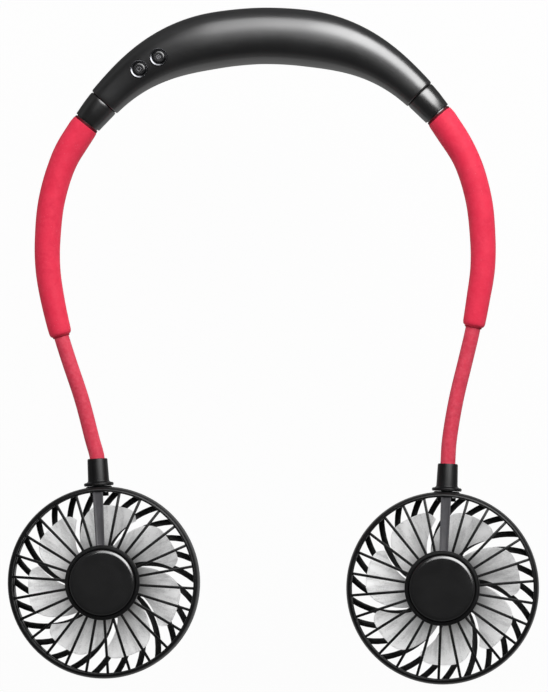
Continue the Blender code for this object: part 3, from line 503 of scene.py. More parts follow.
def turnedFinish(name, colour, edgeColour, centre, radii, roughness, bump):
    # a disc whose tone changes from its middle to its edge, with faint turning marks
    material, tree, shader, spot = startMaterial(name, Specular_IOR_Level=1.0, IOR=1.9)
    marks = useGroup(tree, "turningMarks", spot, Centre=(*centre, 0.0))
    tone = useGroup(tree, "wornTone", spot, Scale=60.0)["Mask"]
    edge = mapRange(tree, marks["Radius"], *radii)
    linkSurface(tree, shader, mixColours(tree, edge, linear(*colour), linear(*edgeColour)),
                mixFloat(tree, tone, *roughness), marks["Height"], bump, 0.00006)
    return material


# greys of a blade from the middle of the fan to the tips, at shares of the reach: the ramp's greys are painted
# shade near the hub and painted light towards the tips, the streak and grain greys are the plastic's own
bladeGreysAndShade = {"reach": 0.034, "first": (0.38, 136), "middle": ((0.5, 196), (0.6, 220)), "last": (0.95, 246),
              "streak": 168, "grain": 140}


def bladeFinish(name, centre):
    # thin milky plastic, faintly streaked; grey at the root and paler towards the tip, which is painted shade near
    # the hub and painted light further out
    # it glows a little, most at the tips: painted light, standing in for light that comes up through it from white
    # paper under a thin blade
    material, tree, shader, spot = startMaterial(name, Transmission_Weight=0.25, Emission_Strength=0.34)
    mould = useGroup(tree, "mouldGrain", spot, Grain_Scale=1500.0, Wave_Scale=240.0)["Height"]
    streaks = useGroup(tree, "radialStreaks", spot, Centre=(*centre, 0.0))
    lint = mixFloat(tree, useGroup(tree, "dustSpecks", spot)["Mask"], 0.0, 0.15)
    # the ramp from root to tip: painted shade at the root, painted light at the tips
    shadeRamp = putNode(tree, "ValToRGB", doMath(tree, "MULTIPLY", streaks["Radius"], 1 / bladeGreysAndShade["reach"]))
    stops = shadeRamp.color_ramp.elements
    for stop, (place, tone) in zip(stops, (bladeGreysAndShade["first"], bladeGreysAndShade["last"])):
        stop.position, stop.color = place, grey(tone)
    for place, tone in bladeGreysAndShade["middle"]:
        stops.new(place).color = grey(tone)
    streak, grain = grey(bladeGreysAndShade["streak"]), grey(bladeGreysAndShade["grain"])
    streaked = mixColours(tree, mixFloat(tree, streaks["Mask"], 0.0, 0.6), shadeRamp.outputs["Color"], streak)
    grained = mixColours(tree, mapRange(tree, mould, 0.44, 0.64, 0.0, 0.28), streaked, grain)
    # painted glow: the blade's greys, times the ramp, light the emission
    paintedGlow = mixColours(tree, 1.0, grained, shadeRamp.outputs["Color"], "MULTIPLY")
    tree.links.new(paintedGlow, shader.inputs["Emission Color"])
    linkSurface(tree, shader, mixColours(tree, lint, grained, lintColour),
                mixFloat(tree, streaks["Mask"], 0.36, 0.5), mould, 0.08, 0.0002)
    return material


def brushedMetal(name, colour, dull, roughness, stretch):
    material, tree, shader, spot = startMaterial(name, Metallic=1.0)
    lines = useGroup(tree, "wornTone", spot, Scale=220.0, Stretch=stretch)["Mask"]
    tone = useGroup(tree, "wornTone", spot, Scale=70.0)["Mask"]
    linkSurface(tree, shader, mixColours(tree, lines, linear(*colour), linear(*dull)),
                mixFloat(tree, tone, *roughness), lines, 0.08, 0.00005)
    return material


def boardLacquer(name):
    # green solder mask over faint copper tracks
    material, tree, shader, spot = startMaterial(name, Coat_Weight=0.4, Coat_Roughness=0.15)
    tracks = putNode(tree, "TexBrick", spot, linear(20, 78, 48), linear(24, 90, 54), linear(46, 128, 74),
                     Scale=260.0, Mortar_Size=0.09, Brick_Width=1.6).outputs
    tone = useGroup(tree, "wornTone", spot)["Mask"]
    linkSurface(tree, shader, tracks["Color"], mixFloat(tree, tone, 0.3, 0.42), tracks["Fac"], 0.3, 0.00005)
    return material


def woundStrip(name):
    # a gooseneck's wound strip: bands across its length, which runs mostly along Y
    material, tree, shader, spot = startMaterial(name, Metallic=1.0)
    turns = putNode(tree, "TexWave", spot, settings={"bands_direction": "Y"}, Scale=320.0, Distortion=0.4)
    tone = useGroup(tree, "wornTone", spot, Scale=120.0)["Mask"]
    bands = turns.outputs["Fac"]
    linkSurface(tree, shader, mixColours(tree, bands, linear(96, 97, 100), linear(176, 178, 182)),
                mixFloat(tree, tone, 0.28, 0.45), bands, 0.6, 0.0003)
    return material


# colour, worn colour, range of roughness, and what differs from plain satin
plastics = {
    "shellBlack": ((11, 11, 13), (15, 15, 17), (0.3, 0.35),
                   {"bump": 0.06, "dust": 0.03, "gloss": 1.0, "ior": 1.9}),
    "grilleBlack": ((13, 13, 14), (20, 20, 21), (0.32, 0.42), {"dust": 0.1}),
    "collarBlack": ((10, 10, 11), (14, 14, 15), (0.28, 0.34),
                    {"bump": 0.08, "dust": 0.05, "gloss": 1.0, "ior": 1.9}),
    "neckBlack": ((14, 14, 15), (20, 20, 21), (0.34, 0.42), {"bump": 0.08, "dust": 0.05}),
    # the broad rib is black grille plastic; its mid grey is a painted highlight
    "spokeGrey": ((70, 69, 72), (86, 85, 89), (0.32, 0.42), {}),
    "buttonBlack": ((24, 24, 26), (30, 30, 32), (0.18, 0.24),
                    {"grain": 2200.0, "dust": 0.04, "gloss": 1.0, "ior": 1.65}),
    "iconGrey": ((150, 150, 154), (162, 162, 166), (0.4, 0.5), {"grain": 2200.0}),
    "cellBlue": ((44, 90, 166), (38, 78, 148), (0.26, 0.38), {"bump": 0.06, "dust": 0.08}),
    "cableBlack": ((26, 26, 26), (34, 34, 34), (0.5, 0.62), {"grain": 2600.0}),
    "nylonIvory": ((230, 228, 218), (218, 214, 200), (0.4, 0.52), {"dust": 0.08}),
}
# colour, deeper and paler tone, and how fine the mottling is
silicones = {
    "thickSilicone": ((242, 52, 82), (224, 40, 70), (250, 76, 102), 260.0),
    "thinSilicone": ((228, 66, 89), (198, 48, 70), (240, 110, 128), 620.0),
    # the last two are painted shade: dark reds for the shadow in the seams at the thick sleeve's two ends
    "sleeveLine": ((92, 6, 22), (70, 4, 16), (112, 18, 34), 400.0),
    "stepShadeRed": ((172, 18, 46), (140, 10, 34), (192, 36, 62), 400.0),
}
# colour, dull colour, range of roughness, and how the brushing is drawn out
metals = {
    "bezelMetal": ((150, 151, 155), (126, 127, 131), (0.18, 0.25), (1.0, 1.0, 1.0)),
    "plainSteel": ((158, 160, 164), (128, 130, 134), (0.26, 0.42), (1.0, 0.12, 1.0)),
}
finishes = {"woundSteel": woundStrip("woundSteel"), "boardGreen": boardLacquer("boardGreen")}
for finish, (colour, worn, roughness, extra) in plastics.items():
    finishes[finish] = mouldedPlastic(finish, colour, worn, roughness, **extra)
for finish, values in silicones.items():
    finishes[finish] = siliconeSleeve(finish, *values)
for finish, values in metals.items():
    finishes[finish] = brushedMetal(finish, *values)
print("materials made:", len(finishes))


# the band's and the arms' lines
bandShape = {
    "centre": (-0.0035, 0.0353),
    "radius": 0.0972,
    "tilt": -1.2,
    "end": 43.8,
    "collarEnd": 50.6,
    "halfWidth": 0.0120,
    "endHalfWidth": 0.0071,
    "taper": (11.0, 47.0),
    "shoulder": 0.00155,
    "shoulderAngles": (2.0, 52.0),
    "edgeRound": 0.0007,
    "endStep": 0.6,
    "soften": 0.00018,
    "wall": 0.0018,
    "hole": 0.0023,
    "section": {"corner": 0.574, "depth": 1.05},
    # degrees that the line runs to each side, and its points in each degree
    "lineEnd": 56,
    "lineSteps": 2,
}


def shareAlong(span, angle):
    first, last = span
    return min(max((abs(angle) - first) / (last - first), 0.0), 1.0)


def onBand(angle, out=0.0, height=midHeight):
    # an arc that stands out a little at its two shoulders
    turn = math.radians(angle + bandShape["tilt"])
    swell = math.sin(math.pi * shareAlong(bandShape["shoulderAngles"], angle)) ** 2
    reach = bandShape["radius"] + bandShape["shoulder"] * swell + out
    x, y = bandShape["centre"]
    return Vector((x + reach * math.sin(turn), y + reach * math.cos(turn), height))


def bandHalfWidth(angle):
    share = shareAlong(bandShape["taper"], angle)
    drop = bandShape["halfWidth"] - bandShape["endHalfWidth"]
    return bandShape["halfWidth"] - drop * share * share * (3 - 2 * share)


def bandFace(angle, sign):
    # height of the band's front face, or of its back face
    return midHeight + sign * bandHalfWidth(angle) * bandShape["section"]["depth"]


lineEnd, lineSteps = bandShape["lineEnd"], bandShape["lineSteps"]
bandLine = [onBand(k / lineSteps - lineEnd) for k in range(2 * lineEnd * lineSteps + 1)]


def alongBand(angle):
    # distance on the band's line of an angle
    step = int((angle + lineEnd) * lineSteps)
    return lineLength(bandLine[:step + 1]) + (onBand(angle) - bandLine[step]).length


armPoints = {
    "left": (
        (-0.0897, 0.0796), (-0.0950, 0.0625), (-0.0968, 0.0454), (-0.0966, 0.0325), (-0.0946, 0.0197),
        (-0.0913, 0.0056), (-0.0877, -0.0060), (-0.0820, -0.0231), (-0.0775, -0.0402),
    ),
    "right": (
        (0.0824, 0.0796), (0.0877, 0.0625), (0.0895, 0.0454), (0.0894, 0.0325), (0.0875, 0.0197),
        (0.0852, 0.0068), (0.0822, -0.0060), (0.0781, -0.0231), (0.0752, -0.0402),
    ),
}


def neckPoint(side, distance):
    angle = math.radians(layout["neckAngle"][side])
    x, y = layout["headCentre"][side]
    return Vector((x + distance * math.cos(angle), y + distance * math.sin(angle), midHeight))


def smoothPath(points, steps=12):
    ends = [points[0], *points, points[-1]]
    slopes = [(after - before).normalized() for before, after in zip(ends, ends[2:])]
    line = []
    for start, end, leaving, arriving in zip(points, points[1:], slopes, slopes[1:]):
        span = (end - start).length
        for k in range(steps):
            t = k / steps
            bend = leaving * (t * (1 - t) ** 2) - arriving * (t * t * (1 - t))
            line.append(start.lerp(end, t * t * (3 - 2 * t)) + bend * span)
    line.append(points[-1])
    return line


def armLine(side):
    # from the band's collar down into the neck collar, and its length up to that collar
    leadIn = [onBand(sides[side] * (bandShape["collarEnd"] + angle)) for angle in (-2, 0, 2)]
    leadOut = [neckPoint(side, layout["neckCollarTop"]), neckPoint(side, headRadius)]
    middle = [Vector((x, y, midHeight)) for x, y in armPoints[side]]
    line = smoothPath([*leadIn, *middle, *leadOut])
    ends = (leadIn[1], leadOut[0])
    first, last = [min(range(len(line)), key=lambda i: (line[i] - end).length) for end in ends]
    outside = line[first:last + 1]
    return [*outside, leadOut[1]], lineLength(outside)


# band
def bandRings():
    end, edge = bandShape["end"], bandShape["edgeRound"]
    edgeAngle = math.degrees(edge / bandShape["radius"])
    endWidth = bandHalfWidth(end)
    rings = [(-end, bandShape["hole"]), (-end, (endWidth - edge) * bandShape["endStep"]), (-end, endWidth - edge)]
    for turn in (22.5, 45, 67.5, 90):
        rise = math.radians(turn)
        rings.append((-end + edgeAngle * (1 - math.cos(rise)), endWidth - edge * (1 - math.sin(rise))))
    count = 72
    span = end - edgeAngle
    for k in range(1, count // 2 + 1):
        angle = -span + 2 * span * k / count
        rings.append((angle, bandHalfWidth(angle)))
    return rings + [(-angle, radius) for angle, radius in rings[-2::-1]]


def makeShells():
    rings = [(alongBand(angle), radius) for angle, radius in bandRings()]
    whole = sweptPiece("bandShell", bandLine, rings, corners=64, ends="open", squareness=bandShape["section"])
    halves = {}
    for name, sign in (("frontShell", 1), ("backShell", -1)):
        half = copyPiece(whole, name)
        startEdit(half)
        seam = (0, 0, midHeight + sign * layout["gap"] / 2)
        bpy.ops.mesh.bisect(plane_co=seam, plane_no=(0, 0, sign), clear_inner=True)
        endEdit()
        # the flat that the band lies on
        selectPoints(half, lambda co: co.z < 0)
        bpy.ops.transform.resize(value=(1, 1, 0), center_override=(0, 0, 0))
        endEdit()
        useModifier(half, "SOLIDIFY", thickness=bandShape["wall"], offset=-1.0, use_even_offset=False)
        halves[name] = half
    bpy.data.objects.remove(whole)
    return halves


controls = {
    "angles": {"power": -31.7, "speed": -26.0},
    "offset": -0.0003,
    "hole": {"radius": 0.00385, "reach": (-0.006, 0.004)},
    "bezelRadii": (0.0029, 0.00375),
    "proud": 0.0004,
    "skirt": 0.0016,
    "iconSink": 0.00006,
    "boardAngle": -28.85,
    "boardHeight": 0.0129,
    "socket": {"size": (0.0075, 0.0056, 0.0025), "round": 0.0008},
    "mouth": {"wall": 0.0004, "forward": 0.2, "round": 0.0005},
    "tongue": {"shares": (0.62, 0.78), "thickness": 0.0006, "place": (0, 0.0004, 0), "round": 0.0001},
    "slot": {"depth": 0.008, "round": 0.0009},
}
boardTurn = -(controls["boardAngle"] + bandShape["tilt"])


def buttonPlace(name):
    angle = controls["angles"][name]
    return onBand(angle, controls["offset"], 0.0), bandFace(angle, 1)


def socketPlace(inwards=0.0):
    # the socket hangs under the board, on the band's inner edge
    angle = controls["boardAngle"]
    height = controls["boardHeight"] - layout["gap"] - controls["socket"]["size"][2] / 2
    return onBand(angle, inwards - bandHalfWidth(angle), height)


def makeShellHoles(halves):
    radius, reach = controls["hole"].values()
    for name in controls["angles"]:
        place, surface = buttonPlace(name)
        hole = turnedPiece("buttonHole", [(radius, surface + step) for step in reach], 64, "fill")
        cutAway(halves["frontShell"], placePiece(hole, place))
    width, _, height = controls["socket"]["size"]
    clearance = 2 * layout["gap"]
    size = (width + clearance, controls["slot"]["depth"], height + clearance)
    for half in halves.values():
        slot = boxPiece("socketSlot", size, socketPlace(), boardTurn)
        cutAway(half, roundEdges(slot, controls["slot"]["round"], 4))


shellScrews = {
    "angles": (-38.0, -19.0, 19.0, 38.0),
    "headRadius": 0.0018,
    "headHeight": 0.0012,
    "shank": 0.0010,
    "sink": 0.0008,
    "length": 0.0115,
    "point": {"length": 0.0008, "share": 0.4},
    "slot": (0.0022, 0.00045, 0.0012),
    "turnEach": 20,
    "recessReach": 0.003,
}


def makeScrewRecesses(backShell):
    radius = shellScrews["headRadius"] + layout["gap"]
    for angle in shellScrews["angles"]:
        face = bandFace(angle, -1)
        floor = face + shellScrews["sink"] + shellScrews["headHeight"] + layout["gap"]
        rings = [(radius, floor), (radius, face - shellScrews["recessReach"])]
        recess = turnedPiece("screwRecess", rings, 48, "fill")
        cutAway(backShell, placePiece(recess, onBand(angle, height=0.0)))


def makeBand():
    halves = makeShells()
    makeShellHoles(halves)
    makeScrewRecesses(halves["backShell"])
    for name, node in (("frontShell", "front_shell"), ("backShell", "back_shell")):
        roundEdges(halves[name], bandShape["soften"], 2, 50)
        finishPiece(halves[name], "shellBlack", "band", [node])
    print("band shells made")


collarShape = {
    "round": 0.0002,
    # millimetres from the band outwards, and radius
    "profile": (
        (-0.28, 6.2), (0, 6.24), (0, 6.58), (0.06, 6.67), (0.4, 6.79), (1.2, 6.83), (5.2, 6.6), (10.6, 6.15),
        (10.75, 6.07), (10.8, 5.9), (10.8, 5.3), (12, 5.3), (12, 2.3), (-0.28, 2.3),
    ),
}


def makeArmCollars():
    for side, sign in sides.items():
        start = alongBand(sign * bandShape["end"]) + sign * layout["gap"]
        rings = ringsFrom(start, 0, *((sign * along, radius) for along, radius in collarShape["profile"]))
        collar = sweptPiece(f"{side}ArmCollar", bandLine, rings, corners=64)
        roundEdges(collar, collarShape["round"], 2, 50)
        finishPiece(collar, "collarBlack", "band", [f"{side}_arm_collar"])
    print("arm collars made")


# buttons, socket and screws
iconShape = {
    "ring": 0.00085,
    "line": 0.00009,
    "break": (0.0007, 0.0005),
    "bar": {"depth": 0.0008, "out": 0.00072},
    "stroke": {"radius": 0.00024, "out": 0.00036, "scale": (1.25, 0.62, 0.4)},
}


def makeIcon(kind, height):
    # generic symbols: a broken ring with a bar for power, a ring round three short strokes for the fan
    line = iconShape["line"]
    icon = newPiece("ring", bpy.ops.mesh.primitive_torus_add, (1, 1, 1), major_segments=40,
                    minor_segments=8, major_radius=iconShape["ring"], minor_radius=line, location=(0, 0, height))
    if kind == "power":
        above, beside = iconShape["break"]
        selectPoints(icon, lambda co: co.y > above and abs(co.x) < beside)
        bpy.ops.mesh.delete(type="VERT")
        closeEnds("fill")
        endEdit()
        depth, out = iconShape["bar"].values()
        bar = newPiece("bar", bpy.ops.mesh.primitive_cylinder_add, vertices=12, radius=line, depth=depth,
                       location=(0, out, height), rotation=(math.pi / 2, 0, 0))
        return settle(joinPieces("powerIcon", icon, bar))
    strokes = []
    radius, out, scale = iconShape["stroke"].values()
    for turn in (90, 210, 330):
        stroke = newPiece("stroke", bpy.ops.mesh.primitive_uv_sphere_add, scale, segments=16, ring_count=8,
                          radius=radius, location=(out, 0, height))
        strokes.append(placePiece(stroke, turn=(0, 0, turn)))
    return settle(joinPieces("fanIcon", icon, *strokes))


def makeButtons():
    inner, outer = controls["bezelRadii"]
    for name in controls["angles"]:
        place, surface = buttonPlace(name)
        top, low = surface + controls["proud"], surface - controls["skirt"]
        button = turnedPiece(f"{name}Button", [
            *ringsFrom(0, top, (0.3, -0.03), (1.6, -0.01), (1.9, 0), (2.05, -0.02), (2.2, -0.06), (2.4, -0.13),
                       (2.52, -0.22), (2.6, -0.6), (2.7, -0.8)),
            *ringsFrom(0, low, (2.7, 0), (1.2, 0), (1.2, -0.8)),
        ], 64, "fill")
        finishPiece(placePiece(button, place), "buttonBlack", f"{name}_button", [f"{name}_button"])
        icon = placePiece(makeIcon(name, top - controls["iconSink"]), place, (0, 0, boardTurn))
        finishPiece(icon, "iconGrey", f"{name}_button")
        # the ring's face falls towards the button
        bezel = turnedPiece(f"{name}Bezel", [
            (inner, low), *ringsFrom(inner, surface, (0, -0.34), (0.03, -0.28), (0.12, -0.23)),
            *ringsFrom(outer, surface, (-0.24, -0.03), (-0.14, 0), (-0.05, -0.02), (0, -0.1)), (outer, low),
        ], 64)
        finishPiece(placePiece(bezel, place), "bezelMetal", "band", [f"{name}_button_bezel"])
    print("buttons made")


def makeSocket():
    # a rounded metal shell with a tongue of contacts, open on the band's inner edge
    mouth, tongue = controls["mouth"], controls["tongue"]
    size = width, depth, height = controls["socket"]["size"]
    shell = roundEdges(boxPiece("chargingSocket", size), controls["socket"]["round"], 5, 60)
    walls = 2 * mouth["wall"]
    opening = boxPiece("socketMouth", (width - walls, depth, height - walls), (0, -depth * mouth["forward"], 0))
    cutAway(shell, roundEdges(opening, mouth["round"], 4, 60))
    across, along = tongue["shares"]
    board = boxPiece("socketTongue", (width * across, depth * along, tongue["thickness"]), tongue["place"])
    roundEdges(board, tongue["round"], 2, 60)
    for piece, finish, nodes in ((shell, "plainSteel", ["charging_socket"]), (board, "cableBlack", [])):
        placePiece(piece, socketPlace(layout["gap"] + depth / 2), (0, 0, boardTurn))
        finishPiece(piece, finish, "band", nodes)
    print("charging socket made")


def makeShellScrews():
    head, shank, (point, share) = shellScrews["headRadius"], shellScrews["shank"], shellScrews["point"].values()
    for number, angle in enumerate(shellScrews["angles"], 1):
        face = bandFace(angle, -1) + shellScrews["sink"]
        neck = face + shellScrews["headHeight"]
        tip = neck + shellScrews["length"]
        screw = turnedPiece(f"shellScrew{number}", [
            *ringsFrom(head, face, (-0.5, 0), (-0.18, 0.08), (0, 0.3)), (head, neck), (shank, neck),
            (shank, tip - point), (shank * share, tip),
        ], 40, "fill")
        for turn in (0, 90):
            turn += shellScrews["turnEach"] * number
            cutAway(screw, boxPiece("screwSlot", shellScrews["slot"], (0, 0, face), turn))
        placePiece(screw, onBand(angle, height=0.0))
        finishPiece(screw, "plainSteel", "band", [f"shell_screw_{number}"])
    print("shell screws made")


# arms
armShape = {
    "thickStart": 0.0010,
    "thickLength": 0.0955,
    "thickBore": 0.0035,
    # the turned-in ends of the thick sleeve, how deep its lower mouth is, and the steps of its bore
    "thickEnds": (0.0008, 0.0018),
    "mouthDepth": 0.02,
    "boreStep": 0.0125,
    "thinRadius": 0.0032,
    "tuck": 0.010,
    "intoCollar": 0.003,
    "gooseneck": 0.0020,
    "gooseneckWall": 0.0008,
    "gooseneckStep": 0.003,
    "cable": 0.0008,
    "tiltAbove": 0.012,
    # how far each bend reaches along the arm, before and after its joint
    "shoulderBend": (-0.003, 0.013),
    "elbowBend": (-0.008, 0.012),
    "tiltBend": (-0.010, 0.0115),
    "upperCut": 0.046,
    "lowerCut": 0.1255,
    # where the gooseneck runs inside the band's end
    "leadAngles": (41.8, 43.0, 44.2, 46.0, 48.0, 49.6),
}
thickProfile = (
    (0.0, 0.0057), (0.0006, 0.0061), (0.002, 0.0062), (0.0115, 0.0062), (0.022, 0.0058), (0.0478, 0.0056),
    (0.0764, 0.0052), (0.0905, 0.0049), (0.0936, 0.0048),
)


def profileValue(profile, distance):
    for (a, low), (b, high) in zip(profile, profile[1:]):
        if distance <= b:
            return low + (high - low) * (distance - a) / (b - a)
    return profile[-1][1]


def armBlend(side, line, length, joint):
    # where a piece that crosses this joint starts and stops bending
    bodies = {
        "shoulder": ("band", f"{side}_upper_arm", 0.0, armShape["shoulderBend"]),
        "elbow": (f"{side}_upper_arm", f"{side}_lower_arm", armShape["thickLength"], armShape["elbowBend"]),
        "tilt": (f"{side}_lower_arm", f"{side}_neck", length - armShape["tiltAbove"], armShape["tiltBend"]),
    }
    first, second, place, (before, after) = bodies[joint]
    start, end = pathPlace(line, place + before), pathPlace(line, place + after)
    return first, {"to": second, "start": start, "end": end}


def makeThickSleeve(side, line, length):
    # outside from the band end to the lower end, a rolled lip there, and the bore back up
    start, last, bore = armShape["thickStart"], armShape["thickLength"], armShape["thickBore"]
    rings = ringsFrom(start, 0, (0, 5.6), (0.2, 6))
    near, far = armShape["thickEnds"]
    count = 60
    for k in range(1, count + 1):
        distance = start + near + (last - near - far - start) * k / count
        rings.append((distance, profileValue(thickProfile, distance)))
    rings += ringsFrom(last, 0, (-1.4, 4.7), (-1, 4.62), (-0.7, 4.48), (-0.4, 4.24), (-0.2, 3.98), (-0.05, 3.68),
                       (0, 3.4), (-6, 3.38))
    rings += [(last - armShape["mouthDepth"] - armShape["boreStep"] * k, bore) for k in range(6)]
    # the upper end is counterbored for the arm collar's spigot
    rings += ringsFrom(start, 0, (3, 3.5), (1.6, 3.5), (1.6, 5.6))
    sleeve = sweptPiece(f"{side}ThickSleeve", line, rings, corners=56)
    first, blend = armBlend(side, line, length, "shoulder")
    finishPiece(sleeve, "thickSilicone", first, [f"{side}_thick_sleeve"], blend)


# dark red rings, coloured as painted shade: one in the seam where the thick sleeve meets its collar, one that
# closes it onto the thin sleeve
sleeveShadeRings = {
    "SleeveMouthShade": {
        "place": 0.0, "finish": "sleeveLine", "body": "band",
        "steps": ((0.1, 5.4), (0.1, 5.7), (0.3, 5.8), (1.2, 5.8), (1.5, 5.6), (1.5, 5.4)),
    },
    "SleeveEndShade": {
        "place": armShape["thickLength"], "finish": "stepShadeRed", "body": "{}_upper_arm",
        "steps": ((-0.3, 3.3), (-0.3, 3.6), (0.3, 3.7), (0.5, 3.6), (0.6, 3.4), (0.6, 3.3)),
    },
}


def makeSleeveShadeRings(side, line):
    for name, ring in sleeveShadeRings.items():
        piece = sweptPiece(side + name, line, ringsFrom(ring["place"], 0, *ring["steps"]), corners=56)
        finishPiece(piece, ring["finish"], ring["body"].format(side))


def tubeRings(first, last, outer, bore, spacing=0.0022):
    count = max(int(round((last - first) / spacing)), 2)
    out = [(first + (last - first) * k / count, outer) for k in range(count + 1)]
    back = [(last - (last - first) * k / count, bore) for k in range(count + 1)]
    return out + back


def makeThinSleeve(side, line, length):
    cut, last = armShape["lowerCut"], length + armShape["intoCollar"]
    bore = armShape["gooseneck"] + layout["gap"]
    spans = {
        "Upper": (armShape["thickLength"] - armShape["tuck"], cut, "elbow"),
        "Lower": (cut, last, "tilt"),
    }
    for name, (first, end, joint) in spans.items():
        rings = tubeRings(first, end, armShape["thinRadius"], bore)
        sleeve = sweptPiece(f"{side}ThinSleeve{name}", line, rings, corners=40)
        body, blend = armBlend(side, line, length, joint)
        finishPiece(sleeve, "thinSilicone", body, [f"{side}_thin_sleeve"], blend)


# radii of the bores for the swivel pin, the gooseneck and the thin sleeve, and heights from the head's centre
neckShape = {"pinBore": 0.0028, "bore": 0.0023, "sleeveBore": 0.0035, "sleeveDepth": 0.0033, "pinTop": 0.0459}


def makeGooseneck(side, line, length):
    # the wound tube and the cable in it, in three pieces, one for each bend
    lead = [onBand(sides[side] * angle) for angle in armShape["leadAngles"]]
    whole = [*lead, *line]
    last = length + layout["neckCollarTop"] - neckShape["pinTop"] - 2 * layout["gap"]
    offset = lineLength([*lead, line[0]])
    cuts = [0.0, *(offset + cut for cut in (armShape["upperCut"], armShape["lowerCut"], last))]
    outer = armShape["gooseneck"]
    inner = outer - armShape["gooseneckWall"]
    joints = {"Upper": "shoulder", "Middle": "elbow", "Lower": "tilt"}
    for (name, joint), first, end in zip(joints.items(), cuts, cuts[1:]):
        body, blend = armBlend(side, line, length, joint)
        rings = tubeRings(first, end, outer, inner, armShape["gooseneckStep"])
        tube = sweptPiece(f"{side}Gooseneck{name}", whole, rings, 20)
        finishPiece(tube, "woundSteel", body, [f"{side}_gooseneck"], blend)
        core = [(distance, armShape["cable"]) for distance, _ in rings[:len(rings) // 2]]
        cable = sweptPiece(f"{side}ArmCable{name}", whole, core, 12, "fill")
        finishPiece(cable, "cableBlack", body, [f"{side}_arm_cable"], blend)


def seatHead(piece, side, height=0.0):
    x, y = layout["headCentre"][side]
    return placePiece(piece, (x, y, height), (0, 0, layout["neckAngle"][side] - 90))


def makeNeckCollar(side):
    # the black socket that the arm ends in, with its flange against the head
    base, top = headRadius + layout["gap"], layout["neckCollarTop"]
    pinBore, bore, sleeveBore, depth, pinTop = neckShape.values()
    floor, seat = pinTop + layout["gap"], top - depth
    collar = turnedPiece(f"{side}NeckCollar", [
        *ringsFrom(0, top, (3.7, 0), (4.1, -0.1), (4.3, -0.5)),
        *ringsFrom(0, base, (4.55, 2.4), (4.7, 1.9), (5.2, 1.5), (5.9, 1.4), (6.25, 1.2), (6.35, 0.8), (6.3, 0.2),
                   (6, 0)),
        (pinBore, base), (pinBore, floor), (bore, floor), (bore, seat), (sleeveBore, seat),
        (sleeveBore, top - 0.0001),
    ], 64)
    seatHead(placePiece(collar, turn=(-90, 0, 0)), side, midHeight)
    finishPiece(collar, "neckBlack", f"{side}_neck", [f"{side}_neck_collar"])


def makeArm(side):
    line, length = armLine(side)
    makeThickSleeve(side, line, length)
    makeSleeveShadeRings(side, line)
    makeThinSleeve(side, line, length)
    makeGooseneck(side, line, length)
    makeNeckCollar(side)
    print(side, "arm made")


# fan heads, modelled once round Z
headShape = {
    "wall": 0.0018,
    "lip": 0.0023,
    "draft": 0.0010,
    "rimTop": 0.0215,
    "hubRadius": 0.0160,
    "hubRingTop": 0.0246,
    "hubSeat": 0.0236,
    "capRadius": 0.0141,
    "capTop": 0.0260,
    "motorRadius": 0.0102,
    "motorFloor": 0.0143,
    # how far the ribs run into the hub
    "rooted": 0.0007,
}
intakeRibs = {
    "count": 26, "width": 0.00115, "depth": 0.0012, "heights": (0.0203, 0.0226), "intoRim": 0.0010,
    "round": 0.0002,
}
broadRib = {
    "widths": (0.0036, 0.0044), "depth": 0.0022, "heights": (0.0198, 0.0226), "edge": 0.0006, "sink": 0.00035,
    "round": 0.00025,
}


def makeStraightRib(name, widths, depth, heights):
    # a bar from the hub to the rim, along +Y, climbing towards the hub
    inner = headShape["hubRadius"] - headShape["rooted"]
    outer = headRadius - headShape["lip"] + intakeRibs["intoRim"]
    rib = boxPiece(name, (1, outer - inner, depth), (0, (inner + outer) / 2, 0))
    for radius, width, height in ((inner, widths[0], heights[1]), (outer, widths[1], heights[0])):
        selectPoints(rib, lambda co: abs(co.y - radius) < 0.001)
        bpy.ops.transform.resize(value=(width, 1, 1), center_override=(0, radius, 0))
        bpy.ops.transform.translate(value=(0, 0, height))
        endEdit()
    return rib


